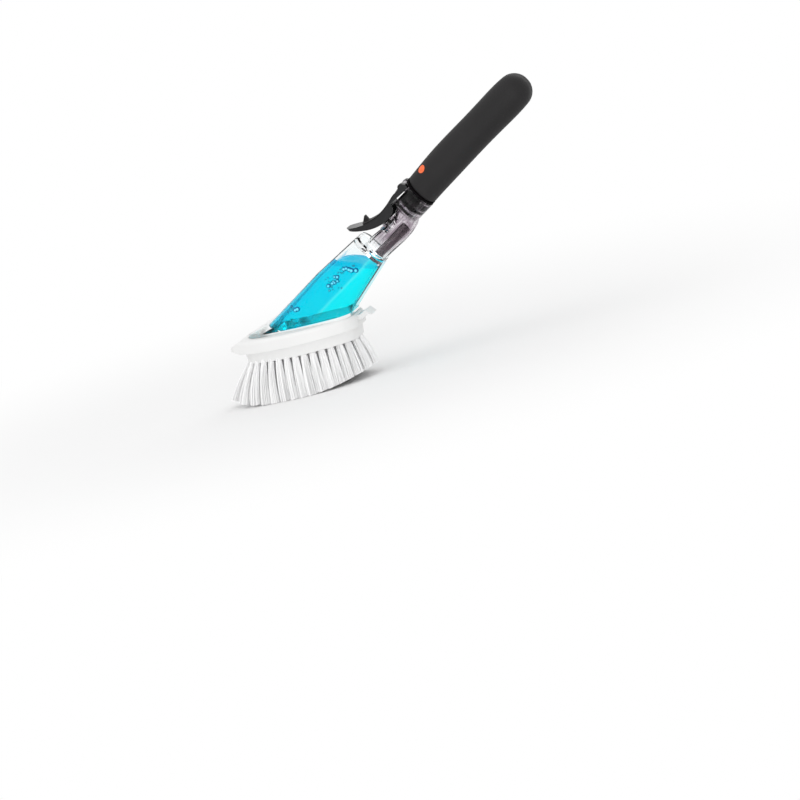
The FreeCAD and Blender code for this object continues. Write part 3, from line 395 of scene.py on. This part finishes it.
soap = Finish("blue_soap")
cloud = soap.noise(45.0, 4.0, 0.6)
swirl = soap.noise(120.0, 3.0, 0.6)
side = soap.along(neck_up) + cloud * SWIRL_DEPTH - SWIRL_DEPTH / 2
from_corner = soap.node("Math", {"operation": "ABSOLUTE"}, {0: side - CORNER_PLACE})
lit_rear = soap.rise(side, CORNER_PLACE + CORNER_WIDTH, CORNER_PLACE - CORNER_WIDTH)
corner_highlight = soap.rise(from_corner, CORNER_WIDTH, 0.0)
front_shade = soap.rise(side, FRONT_PLACE - FRONT_WIDTH, FRONT_PLACE)
brim_shade = soap.rise(soap.along(SOAP_UP) + swirl * SWIRL_DEPTH, soap_level - BRIM_DEPTH, soap_level)
# Painted light: the part behind the rear corner is a lighter blue than the deep blue in front of it.
blue = soap.mix(lit_rear, soap.mix(cloud, *DEEP_BLUE), soap.mix(cloud, *REAR_LIT_BLUE))
# Painted shade: a deeper blue towards the front wall.
blue = soap.mix(front_shade * FRONT_SHADE_SHARE, blue, FRONT_SHADE_BLUE)
# Painted shade: a dark band just under the level.
blue = soap.mix(brim_shade * BRIM_SHADE_SHARE, blue, BRIM_SHADE_BLUE)
# Painted highlight: a light streak along the rear corner.
blue = soap.mix(corner_highlight * CORNER_HIGHLIGHT_SHARE, blue, CORNER_HIGHLIGHT_BLUE)
see_through = soap.node("BsdfPrincipled", {}, {
    "Base Color": blue, "Roughness": 0.03 + cloud * 0.04, "IOR": SOAP_IOR, "Transmission Weight": 1.0,
    "Normal": soap.bump(swirl, 0.0006, 0.3)})
milky = soap.node("BsdfPrincipled", {}, {"Base Color": blue, "Roughness": 0.3 + cloud * 0.1, "IOR": SOAP_IOR})
blue_soap = soap.blended(MILKY_SHARE, see_through, milky)
soap_mesh = smoothed("soap_charge", "soap_fill", SOAP_VOXEL, SOAP_ROUNDS, SOAP_GROWTH)
soap_top = max(vertex.co.dot(SOAP_UP) for vertex in soap_mesh.vertices)
for vertex in soap_mesh.vertices:
    if vertex.co.dot(SOAP_UP) > soap_top - SOAP_VOXEL:
        vertex.co += SOAP_UP * (noise.noise(vertex.co * WAVE_RATE) * WAVE_DEPTH)
add_piece("soap_fill", soap_mesh, blue_soap, "reservoir", "soap", "soap_charge")

# Bubbles: air caught in the soap, in small swarms where it wets the near wall. Each bubble is round, with
# painted shade at its edge and a painted highlight where it faces a wall.
LEAST_BUBBLE = 0.0004
MOST_BUBBLE = 0.0017
BUBBLE_SHADE_AND_HIGHLIGHT = ((0.0, 0.18, 0.42, 1.0), (0.12, 0.80, 0.97, 1.0))
BUBBLE_EDGES = (0.78, 0.98)
BUBBLE_IOR = 1.33
WALL_REACH = 0.05
FIRST_SEED = 5
# Each swarm's middle, in front of the wall, its spread to each side and its count.
BUBBLES = ((Vector((0.0345, -0.04, 0.0662)), Vector((0.0050, 0.0, 0.0045)), 26),
           (Vector((0.0040, -0.04, 0.0556)), Vector((0.0040, 0.0, 0.0025)), 14),
           (Vector((0.0440, -0.04, 0.0725)), Vector((0.0080, 0.0, 0.0020)), 18))


class Wiring:
    """A Geometry Nodes tree with named inputs and one method that adds any node."""

    def __init__(self, name, inputs):
        self.group = bpy.data.node_groups.new(name, "GeometryNodeTree")
        self.names = {}
        for label, kind in inputs.items():
            socket = self.group.interface.new_socket(label, in_out="INPUT", socket_type="NodeSocket" + kind)
            self.names[label] = socket.identifier
        self.group.interface.new_socket("Geometry", in_out="OUTPUT", socket_type="NodeSocketGeometry")
        self.entry = self.group.nodes.new("NodeGroupInput")
        self.exit = self.group.nodes.new("NodeGroupOutput")

    def input(self, label):
        return self.entry.outputs[label]

    def outputs(self, kind, settings, sockets):
        """All the outputs of a node, by its type, its settings and the values or links of its sockets."""
        made = self.group.nodes.new(kind)
        for key, value in settings.items():
            setattr(made, key, value)
        for key, value in sockets.items():
            if isinstance(value, bpy.types.NodeSocket):
                self.group.links.new(value, made.inputs[key])
            else:
                made.inputs[key].default_value = value
        return made.outputs

    def node(self, kind, settings, sockets, out=0):
        return self.outputs(kind, settings, sockets)[out]

    def maths(self, operation, first, second=0.0):
        return self.node("ShaderNodeMath", {"operation": operation}, {0: first, 1: second})

    def vectors(self, operation, first, second, key=1):
        return self.node("ShaderNodeVectorMath", {"operation": operation}, {0: first, key: second})

    def axes(self, vector):
        return self.outputs("ShaderNodeSeparateXYZ", {}, {0: vector})

    def place(self):
        return self.node("GeometryNodeInputPosition", {}, {})

    def draw(self, later, least=0.0, most=1.0):
        """A random number for each element, from a seed that comes later than the tree's own."""
        seed = self.maths("ADD", self.input("Seed"), later)
        return self.node("FunctionNodeRandomValue", {"data_type": "FLOAT"},
                         {"Min": least, "Max": most, "Seed": seed}, 1)

    def draw_vector(self, least, most):
        return self.node("FunctionNodeRandomValue", {"data_type": "FLOAT_VECTOR"},
                         {"Min": least, "Max": most, "Seed": self.input("Seed")})

    def store(self, geometry, label, value, kind="FLOAT"):
        return self.node("GeometryNodeStoreNamedAttribute", {"data_type": kind, "domain": "POINT"},
                         {"Geometry": geometry, "Name": label, "Value": value})

    def stored(self, label, kind="FLOAT"):
        return self.node("GeometryNodeInputNamedAttribute", {"data_type": kind}, {"Name": label})

    def end(self, geometry):
        """Give the geometry its finish and close the tree."""
        geometry = self.node("GeometryNodeSetMaterial", {},
                             {"Geometry": geometry, "Material": self.input("Finish")})
        self.group.links.new(geometry, self.exit.inputs["Geometry"])


def bubble_wiring():
    """A swarm of round bubbles on the near face of the soap; facing is 1 where one faces a wall."""
    tree = Wiring("bubble_swarm", {
        "Geometry": "Geometry", "Count": "Int", "Middle": "Vector", "Spread": "Vector", "Least": "Float",
        "Most": "Float", "Reach": "Float", "Seed": "Int", "Finish": "Material"})
    stray = tree.draw_vector((-1.0, -1.0, -1.0), (1.0, 1.0, 1.0))
    spot = tree.vectors("ADD", tree.vectors("MULTIPLY", stray, tree.input("Spread")), tree.input("Middle"))
    points = tree.node("GeometryNodePoints", {}, {"Count": tree.input("Count"), "Position": spot})
    met = tree.node("GeometryNodeRaycast", {}, {
        "Target Geometry": tree.input("Geometry"), "Ray Direction": ACROSS,
        "Ray Length": tree.input("Reach")}, "Hit Position")
    points = tree.node("GeometryNodeSetPosition", {}, {"Geometry": points, "Position": met})
    more = tree.maths("SUBTRACT", tree.input("Most"), tree.input("Least"))
    mostly_small = tree.maths("POWER", tree.draw(1.0), 3.0)
    size = tree.maths("ADD", tree.input("Least"), tree.maths("MULTIPLY", mostly_small, more))
    ball = tree.node("GeometryNodeMeshIcoSphere", {}, {"Radius": 1.0, "Subdivisions": 3})
    ball = tree.store(ball, "facing", tree.maths("ABSOLUTE", tree.axes(tree.place())["Y"]))
    swarm = tree.node("GeometryNodeInstanceOnPoints", {}, {"Points": points, "Instance": ball, "Scale": size})
    swarm = tree.node("GeometryNodeRealizeInstances", {}, {"Geometry": swarm})
    tree.end(tree.node("GeometryNodeSetShadeSmooth", {}, {"Geometry": swarm}))
    return tree


def grown_mesh(name, seed_mesh, wiring, values):
    """The mesh that a Geometry Nodes tree grows from a seed mesh."""
    seed_piece = bpy.data.objects.new(name, seed_mesh)
    bpy.context.scene.collection.objects.link(seed_piece)
    grower = seed_piece.modifiers.new("grow", "NODES")
    grower.node_group = wiring.group
    for label, value in values.items():
        grower[wiring.names[label]] = value
    mesh = bpy.data.meshes.new_from_object(seed_piece.evaluated_get(bpy.context.evaluated_depsgraph_get()))
    bpy.data.objects.remove(seed_piece)
    return mesh


bubble = Finish("bubble_air")
speck = bubble.noise(600.0, 1.0)
facing = bubble.node("Attribute", {"attribute_name": "facing"}, {}, "Fac")
# Painted shade at each bubble's edge and a painted highlight where it faces a wall.
bubble_air = bubble.surface({
    "Base Color": bubble.mix(bubble.rise(facing + speck * 0.1, *BUBBLE_EDGES), *BUBBLE_SHADE_AND_HIGHLIGHT),
    "Roughness": 0.05 + speck * 0.05, "IOR": BUBBLE_IOR})
bubble_tree = bubble_wiring()
for number, (middle, spread, count) in enumerate(BUBBLES):
    bubbles = grown_mesh("bubble_seed", soap_mesh, bubble_tree, {
        "Count": count, "Middle": middle, "Spread": spread, "Least": LEAST_BUBBLE, "Most": MOST_BUBBLE,
        "Reach": WALL_REACH, "Seed": FIRST_SEED + number, "Finish": bubble_air})
    add_piece(f"bubbles_{number}", bubbles, bubble_air, "reservoir", "soap")

# Outlet: a silicone slit valve with its snap ring in the plinth's boss, and a silicone gasket
# that seals it to the head. The seal on the handle's plug is of the same silicone.
SILICONE_GREY = ((0.62, 0.64, 0.66, 1.0), (0.74, 0.76, 0.78, 1.0))
rubber = Finish("grey_silicone")
grain = rubber.noise(900.0, 2.0)
silicone = rubber.surface({
    "Base Color": rubber.mix(grain, *SILICONE_GREY), "Roughness": 0.45 + grain * 0.2,
    "Normal": rubber.bump(grain, 0.00005)})
dress(silicone, "outlet_valve", "outlet_gasket", "plug_seal")

# Brush head: a white polypropylene rim with a scraping lip and a thumb tab, snapped onto the plinth,
# and a white block under it that holds the tufts. The valve's snap ring is of the same plastic.
HEAD_WHITE = ((0.77, 0.77, 0.765, 1.0), (0.83, 0.83, 0.825, 1.0))
HEAD_IOR = 1.49
white = Finish("white_polypropylene")
grain = white.noise(700.0, 3.0)
cloud = white.noise(35.0, 2.0)
white_plastic = white.surface({
    "Base Color": white.mix(cloud, *HEAD_WHITE), "Roughness": 0.28 + grain * 0.14 + cloud * 0.06,
    "IOR": HEAD_IOR, "Normal": white.bump(grain, 0.00004)})
dress(white_plastic, "head_carrier", "tuft_block", "valve_retainer")

# Tufts: white nylon filaments, folded over a wire anchor in each hole and trimmed to a shallow arch.
# They spread from the hole to the tip and lean out from the middle of the head. Each filament's white
# varies at random and is painted a little darker towards its root, as painted shade.
FILAMENTS = 72
FILAMENT_RADIUS = 0.00022
FILAMENT_SIDES = 5
FILAMENT_STEPS = 4
ROOT_RADIUS = 0.0018
ROOT_BAND = 0.00001
TIP_RADIUS = 0.0032
TIP_BAND = 0.003
TIP_WOBBLE = 0.0007
TIP_UNEVEN = 0.0005
BOW = 0.0012
TRIM_RADIUS = 0.200
TRIM_CENTRE = -0.010
TRIM_DEPTH = 0.0005
GOLDEN_ANGLE = math.pi * (3.0 - math.sqrt(5.0))
SEED_STEP = 11
ORDER_DIGITS = 5
NYLON_TONE_AND_ROOT_SHADE = ((0.95, 0.95, 0.952, 1.0), (0.99, 0.99, 0.99, 1.0))
NYLON_IOR = 1.53


def tuft_lines(node):
    """Root and tip of each tuft of a ring, from the ring's solids, always in the same order."""
    form = merged(node)
    reached = set()
    lines = []
    for first in form.verts:
        if first in reached:
            continue
        reached.add(first)
        group = [first]
        for vert in group:
            for edge in vert.link_edges:
                other = edge.other_vert(vert)
                if other not in reached:
                    reached.add(other)
                    group.append(other)
        group.sort(key=lambda vert: vert.co.z)
        low = [vert.co.copy() for vert in group if vert.co.z < group[0].co.z + TIP_BAND]
        high = [vert.co.copy() for vert in group if vert.co.z > group[-1].co.z - ROOT_BAND]
        lines.append((sum(high, Vector()) / len(high), sum(low, Vector()) / len(low)))
    form.free()
    return sorted(lines, key=lambda line: (round(line[0].x, ORDER_DIGITS), round(line[0].y, ORDER_DIGITS)))


def brush_wiring():
    """Filaments on every tuft root: spread over the hole, splayed to the tip, trimmed and a little bowed."""
    tree = Wiring("tuft_brush", {
        "Geometry": "Geometry", "Filaments": "Int", "Radius": "Float", "Sides": "Int", "Steps": "Int",
        "Root Radius": "Float", "Tip Radius": "Float", "Wobble": "Float", "Uneven": "Float", "Bow": "Float",
        "Trim Radius": "Float", "Trim Centre": "Float", "Trim Depth": "Float", "Seed": "Int",
        "Finish": "Material"})
    roots = tree.node("GeometryNodeMeshToPoints", {}, {"Mesh": tree.input("Geometry")})
    copies, number = tree.outputs("GeometryNodeDuplicateElements", {"domain": "POINT"},
                                  {"Geometry": roots, "Amount": tree.input("Filaments")})

    turn = tree.maths("MULTIPLY", number, GOLDEN_ANGLE)
    out = tree.maths("SQRT", tree.maths("DIVIDE", tree.maths("ADD", number, 0.5), tree.input("Filaments")))
    disc = tree.node("ShaderNodeCombineXYZ", {}, {
        "X": tree.maths("MULTIPLY", out, tree.maths("COSINE", turn)),
        "Y": tree.maths("MULTIPLY", out, tree.maths("SINE", turn))})
    here = tree.place()
    start = tree.vectors("ADD", here, tree.vectors("SCALE", disc, tree.input("Root Radius"), "Scale"))
    stray = tree.draw_vector((-1.0, -1.0, 0.0), (1.0, 1.0, 1.0))
    splay = tree.vectors("SCALE", disc, tree.input("Tip Radius"), "Scale")
    splay = tree.vectors("ADD", splay, tree.vectors("SCALE", stray, tree.input("Wobble"), "Scale"))
    splay = tree.vectors("ADD", splay, tree.stored("lean", "FLOAT_VECTOR"))
    tip = tree.axes(tree.vectors("ADD", here, splay))

    radius = tree.input("Trim Radius")
    off = tree.maths("SUBTRACT", tip["X"], tree.input("Trim Centre"))
    square = tree.maths("SUBTRACT", tree.maths("MULTIPLY", radius, radius), tree.maths("MULTIPLY", off, off))
    flat = tree.maths("SUBTRACT", radius, tree.input("Trim Depth"))
    level = tree.maths("MAXIMUM", tree.maths("SUBTRACT", flat, tree.maths("SQRT", square)), 0.0)
    uneven = tree.draw(1.0, 0.0, tree.input("Uneven"))
    end = tree.node("ShaderNodeCombineXYZ", {}, {
        "X": tip["X"], "Y": tip["Y"], "Z": tree.maths("ADD", level, uneven)})
    copies = tree.store(copies, "way", tree.vectors("SUBTRACT", end, start), "FLOAT_VECTOR")
    copies = tree.store(copies, "tone", tree.draw(2.0))
    copies = tree.store(copies, "start", start, "FLOAT_VECTOR")
    copies = tree.node("GeometryNodeSetPosition", {}, {
        "Geometry": copies, "Position": tree.stored("start", "FLOAT_VECTOR")})

    way = tree.stored("way", "FLOAT_VECTOR")
    stick = tree.node("GeometryNodeMeshCylinder", {"fill_type": "NGON"}, {
        "Vertices": tree.input("Sides"), "Side Segments": tree.input("Steps"), "Radius": tree.input("Radius"),
        "Depth": 1.0})
    stick = tree.node("GeometryNodeTransform", {}, {"Geometry": stick, "Translation": (0.0, 0.0, 0.5)})
    stick = tree.store(stick, "run", tree.axes(tree.place())["Z"])
    length = tree.node("ShaderNodeVectorMath", {"operation": "LENGTH"}, {0: way}, "Value")
    bundle = tree.node("GeometryNodeInstanceOnPoints", {}, {
        "Points": copies, "Instance": stick,
        "Rotation": tree.node("FunctionNodeAlignRotationToVector", {"axis": "Z"}, {"Vector": way}),
        "Scale": tree.node("ShaderNodeCombineXYZ", {}, {"X": 1.0, "Y": 1.0, "Z": length})})
    bundle = tree.node("GeometryNodeRealizeInstances", {}, {"Geometry": bundle})

    run = tree.stored("run")
    swing = tree.maths("MULTIPLY", run, tree.maths("SUBTRACT", 1.0, run))
    push = tree.maths("MULTIPLY", swing, tree.maths("MULTIPLY", tree.input("Bow"), 4.0))
    outward = tree.node("ShaderNodeVectorMath", {"operation": "NORMALIZE"},
                        {0: tree.vectors("MULTIPLY", way, (1.0, 1.0, 0.0))})
    tree.end(tree.node("GeometryNodeSetPosition", {}, {
        "Geometry": bundle, "Offset": tree.vectors("SCALE", outward, push, "Scale")}))
    return tree


nylon = Finish("white_nylon")
tone = nylon.node("Attribute", {"attribute_name": "tone"}, {}, "Fac")
run = nylon.node("Attribute", {"attribute_name": "run"}, {}, "Fac")
streak = nylon.noise(400.0, 1.0)
# Painted shade: each filament is a little darker towards its root; its tone also varies at random.
nylon_white = nylon.surface({
    "Base Color": nylon.mix(tone * 0.6 + run * 0.4, *NYLON_TONE_AND_ROOT_SHADE),
    "Roughness": 0.35 + tone * 0.12 + streak * 0.1, "IOR": NYLON_IOR, "Normal": nylon.bump(streak, 0.00003)})
brush_tree = brush_wiring()
for number, ring in enumerate(("outer", "middle", "inner")):
    lines = tuft_lines("tufts_" + ring)
    roots = bpy.data.meshes.new("tuft_roots_" + ring)
    roots.from_pydata([root for root, tip in lines], [], [])
    leans = roots.attributes.new("lean", "FLOAT_VECTOR", "POINT")
    for item, (root, tip) in zip(leans.data, lines):
        item.vector = tip - root
    bristles = grown_mesh("tuft_roots_" + ring, roots, brush_tree, {
        "Filaments": FILAMENTS, "Radius": FILAMENT_RADIUS, "Sides": FILAMENT_SIDES, "Steps": FILAMENT_STEPS,
        "Root Radius": ROOT_RADIUS, "Tip Radius": TIP_RADIUS, "Wobble": TIP_WOBBLE, "Uneven": TIP_UNEVEN,
        "Bow": BOW, "Trim Radius": TRIM_RADIUS, "Trim Centre": TRIM_CENTRE, "Trim Depth": TRIM_DEPTH,
        "Seed": SEED_STEP * number, "Finish": nylon_white})
    add_piece("bristles_" + ring, bristles, nylon_white, "brush_head", "white_nylon", "tufts_" + ring)

# Metal bits: the wire anchors pressed into the tuft holes and the pin that the lever turns on.
# They are cut from drawn stainless steel.
STEEL_GREY = ((0.55, 0.55, 0.56, 1.0), (0.72, 0.72, 0.73, 1.0))
wire = Finish("drawn_steel")
drawn = wire.noise(1500.0, 2.0)
steel = wire.surface({
    "Base Color": wire.mix(drawn, *STEEL_GREY), "Metallic": 1.0, "Roughness": 0.22 + drawn * 0.2,
    "Normal": wire.bump(drawn, 0.00002)})
dress(steel, "tuft_anchors", "lever_pin")

# Return spring: three turns of the same steel wire about the plunger, between the pump's ring and the
# plunger's head.
SPRING_TURNS = 3
SPRING_STEPS = 28
SPRING_SIDES = 10
SPRING_WIRE = 0.00045
SHARP_EDGE = math.radians(40.0)
pump_axes = (neck_axis, ACROSS, neck_up)
press_travel = joints["plunger_slide"]["range_m"][1]


def hoop(middle, first, second, radii):
    """A ring of points about a middle, in the plane of two axes, one point for each radius."""
    turns = [2 * math.pi * number / len(radii) for number in range(len(radii))]
    return [middle + (first * math.cos(turn) + second * math.sin(turn)) * radius
            for turn, radius in zip(turns, radii)]


def belt(form, ring, beyond):
    """Faces between two closed rows of points."""
    for number in range(len(ring)):
        beside = (number + 1) % len(ring)
        form.faces.new((ring[number], ring[beside], beyond[beside], beyond[number]))


def closed_mesh(name, form):
    """A mesh from a closed form, with its faces outwards and smooth but for its sharp edges."""
    bmesh.ops.recalc_face_normals(form, faces=form.faces)
    mesh = bpy.data.meshes.new(name)
    form.to_mesh(mesh)
    form.free()
    mesh.shade_smooth()
    mesh.set_sharp_from_angle(angle=SHARP_EDGE)
    return mesh


def hooped(name, hoops):
    """A closed mesh through rings of points, with a pole in the middle of each end ring."""
    form = bmesh.new()
    rings = [[form.verts.new(point) for point in ring] for ring in hoops]
    for ring, beyond in zip(rings, rings[1:]):
        belt(form, ring, beyond)
    for ring in (rings[0], rings[-1]):
        pole = form.verts.new(sum((vert.co for vert in ring), Vector()) / len(ring))
        for number in range(len(ring)):
            form.faces.new((ring[number], ring[(number + 1) % len(ring)], pole))
    return closed_mesh(name, form)


def spoke(turn):
    """The way out from the plunger's line at a turn about it."""
    return pump_axes[0] * math.cos(turn) + pump_axes[1] * math.sin(turn)


def pump_place(node):
    """Foot, radius and height of a round piece on the plunger's line."""
    places = [[vertex.co.dot(axis) for vertex in frame["nodes"][node].data.vertices] for axis in pump_axes]
    low = [min(along) for along in places]
    high = [max(along) for along in places]
    foot = (pump_axes[0] * ((low[0] + high[0]) / 2) + pump_axes[1] * ((low[1] + high[1]) / 2)
            + pump_axes[2] * low[2])
    return foot, (high[1] - low[1]) / 2, high[2] - low[2]


spring_foot, spring_radius, spring_height = pump_place("return_spring")
spring_hoops = []
for step in range(SPRING_TURNS * SPRING_STEPS + 1):
    out = spoke(2 * math.pi * step / SPRING_STEPS)
    rise = SPRING_WIRE / 2 + (spring_height - SPRING_WIRE) * step / (SPRING_TURNS * SPRING_STEPS)
    middle = spring_foot + out * (spring_radius - SPRING_WIRE / 2) + pump_axes[2] * rise
    spring_hoops.append(hoop(middle, out, pump_axes[2], [SPRING_WIRE / 2] * SPRING_SIDES))
spring_mesh = hooped("spring_wire", spring_hoops)
spring = add_piece("spring_wire", spring_mesh, steel, "reservoir", "steel", "return_spring")
(spring_height - press_travel) / spring_height
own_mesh(spring)

# Diaphragm: a silicone disc with a clamped rim, a thin skin and a pad under the plunger. It is laid in
# slices.
DISC_SLICES = 8
SLICE_STEPS = 4
SLICE_GAP = 0.000004
SKIN_STEPS = 6
SKIN_RADIUS = 0.0042
SKIN_THICKNESS = 0.0007
DISC_PAD_RADIUS = 0.0024
DISC_PAD_RISE = 0.0007
AXIS_MERGE = 1e-7
disc_foot, disc_radius, disc_height = pump_place("pump_diaphragm")
skin_top = disc_height - DISC_PAD_RISE
skin_low = skin_top - SKIN_THICKNESS
skin_places = [DISC_PAD_RADIUS + (SKIN_RADIUS - DISC_PAD_RADIUS) * step / SKIN_STEPS
               for step in range(SKIN_STEPS + 1)]
disc_section = ([(0.0, 0.0), (DISC_PAD_RADIUS, 0.0)] + [(place, skin_low) for place in skin_places]
                + [(SKIN_RADIUS, 0.0), (disc_radius, 0.0), (disc_radius, skin_top)]
                + [(place, skin_top) for place in reversed(skin_places)]
                + [(DISC_PAD_RADIUS, disc_height), (0.0, disc_height)])
half_slice = math.pi / DISC_SLICES
for number in range(DISC_SLICES):
    middle_turn = 2 * half_slice * number
    middle_line = spoke(middle_turn)
    slice_foot = disc_foot + middle_line * SLICE_GAP
    form = bmesh.new()
    rows = []
    for step in range(SLICE_STEPS + 1):
        out = spoke(middle_turn + half_slice * (2 * step / SLICE_STEPS - 1))
        rows.append([form.verts.new(slice_foot + out * far + pump_axes[2] * rise)
                     for far, rise in disc_section])
    for row, beyond in zip(rows, rows[1:]):
        belt(form, row, beyond)
    form.faces.new(rows[0])
    form.faces.new(rows[-1])
    bmesh.ops.remove_doubles(form, verts=form.verts, dist=AXIS_MERGE)
    name = f"diaphragm_slice_{number}"
    piece = put_in(name, closed_mesh(name, form), silicone)
    disc_foot + middle_line * (SKIN_RADIUS * math.cos(half_slice))
    disc_foot + middle_line * DISC_PAD_RADIUS
    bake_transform(piece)
    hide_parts("pump_diaphragm")

# Pump and handle core: black moulded plastic, seen through the clear collar and neck. The clearance
# around the plug is wet, so the plug is seen close under the collar's wall, with its seal and grooves.
CORE_BLACK = ((0.002, 0.002, 0.002, 1.0), (0.005, 0.004, 0.005, 1.0))
PLUG_RADIUS = 0.00726
PLUG_SIDES = 96
SEAL_STEP = -0.0008
GROOVE_STEP = -0.0003
# How far each ring of the plug's face lies before the twist joint's point, and its step in the radius.
PLUG_PROFILE = ((0.0146, 0.0), (0.0132, SEAL_STEP), (0.0110, SEAL_STEP), (0.0108, 0.0), (0.0086, 0.0),
                (0.0085, GROOVE_STEP), (0.0080, GROOVE_STEP), (0.0079, 0.0), (0.0030, 0.0),
                (0.0029, GROOVE_STEP), (0.0023, GROOVE_STEP), (0.0022, 0.0), (0.0004, 0.0))
dark = Finish("black_core")
grain = dark.noise(1200.0, 2.0)
cloud = dark.noise(90.0, 2.0)
core_black = dark.surface({
    "Base Color": dark.mix(cloud, *CORE_BLACK), "Roughness": 0.5 + grain * 0.15, "Specular IOR Level": 0.02,
    "Normal": dark.bump(cloud, 0.00004)})
dress(core_black, "handle_core", "plunger", "diaphragm_ring")
twist_point = Vector(joints["handle_twist"]["pos_m"])
plug_hoops = [hoop(twist_point - neck_axis * before, ACROSS, neck_up, [PLUG_RADIUS + step] * PLUG_SIDES)
              for before, step in PLUG_PROFILE]
add_piece("plug_face", hooped("plug_face", plug_hoops), core_black, "handle", "core_plastic")

# Lever: a thumb lever of glossy black plastic that turns on its pin. A soft black pad with a stop fin
# is moulded onto its top.
LEVER_BLACK = ((0.008, 0.008, 0.009, 1.0), (0.016, 0.016, 0.017, 1.0))
LEVER_IOR = 1.5
SOFT_BLACK = ((0.010, 0.0095, 0.010, 1.0), (0.018, 0.017, 0.0175, 1.0))
THUMB_PAD_VOXEL = 0.00028
THUMB_PAD_ROUNDS = 1
gloss = Finish("black_lever")
grain = gloss.noise(900.0, 2.0)
cloud = gloss.noise(60.0, 2.0)
lever_black = gloss.surface({
    "Base Color": gloss.mix(grain, *LEVER_BLACK), "Roughness": 0.22 + cloud * 0.12, "IOR": LEVER_IOR,
    "Specular IOR Level": 0.25, "Normal": gloss.bump(grain, 0.00002)})
dress(lever_black, "lever")
soft = Finish("soft_black")
grain = soft.noise(1600.0, 3.0, 0.7)
cloud = soft.noise(40.0, 2.0)
soft_black = soft.surface({
    "Base Color": soft.mix(cloud, *SOFT_BLACK), "Roughness": 0.5 + cloud * 0.12 + grain * 0.1,
    "Specular IOR Level": 0.25, "Normal": soft.bump(grain, 0.00005)})
pad_mesh = smoothed("thumb_pad", "pad_skin", THUMB_PAD_VOXEL, THUMB_PAD_ROUNDS)
add_piece("pad_skin", pad_mesh, soft_black, "lever", "soft_black", "thumb_pad")

# Grip: a soft black rubber sleeve over the core, matt and finely grained, with a rolled front edge.
# Its surface is found by rays on the solid, a hair inside it so that the dot stands proud.
GRIP_STATIONS = 110
GRIP_SIDES = 112
GRIP_LIFT = 0.0024
GRIP_REACH = 0.04
GRIP_SINK = 0.00012
GRIP_LIP = 0.0014
GRIP_END = 0.00004
grip_form = bmesh.new()
for node in ("grip_sleeve", "grip_dot"):
    grip_form.from_mesh(frame["nodes"][node].data)
grip_rays = BVHTree.FromBMesh(grip_form)
grip_form.free()
grip_runs = [(vertex.co - twist_point).dot(neck_axis)
             for vertex in frame["nodes"]["grip_sleeve"].data.vertices]
grip_front = min(grip_runs)
grip_length = max(grip_runs) - grip_front
grip_hoops = []
for station in range(GRIP_STATIONS):
    run = grip_length * math.sin(math.pi / 2 * station / (GRIP_STATIONS - 1))
    run = min(max(run, GRIP_END), grip_length - GRIP_END)
    middle = twist_point + neck_axis * (grip_front + run) + neck_up * GRIP_LIFT
    short = max(0.0, 1.0 - run / GRIP_LIP)
    sink = GRIP_SINK + GRIP_LIP * (1.0 - math.sqrt(1.0 - short ** 2))
    radii = []
    for far in hoop(middle, ACROSS, neck_up, [GRIP_REACH] * GRIP_SIDES):
        met = grip_rays.ray_cast(far, (middle - far).normalized(), GRIP_REACH)
        radii.append(GRIP_REACH - met[3] - sink)
    grip_hoops.append(hoop(middle, ACROSS, neck_up, radii))
add_piece("grip_skin", hooped("grip_skin", grip_hoops), soft_black, "handle", "soft_black", "grip_sleeve")

# Dot: a plain orange plastic plug, pressed into the side of the grip near its front. It stands a hair
# proud of the rubber.
DOT_ORANGE = ((0.80, 0.10, 0.02, 1.0), (0.90, 0.16, 0.03, 1.0))
spot = Finish("orange_dot")
grain = spot.noise(900.0, 2.0)
dot_orange = spot.surface({
    "Base Color": spot.mix(grain, *DOT_ORANGE), "Roughness": 0.35 + grain * 0.15,
    "Normal": spot.bump(grain, 0.00003)})
dress(dot_orange, "grip_dot")
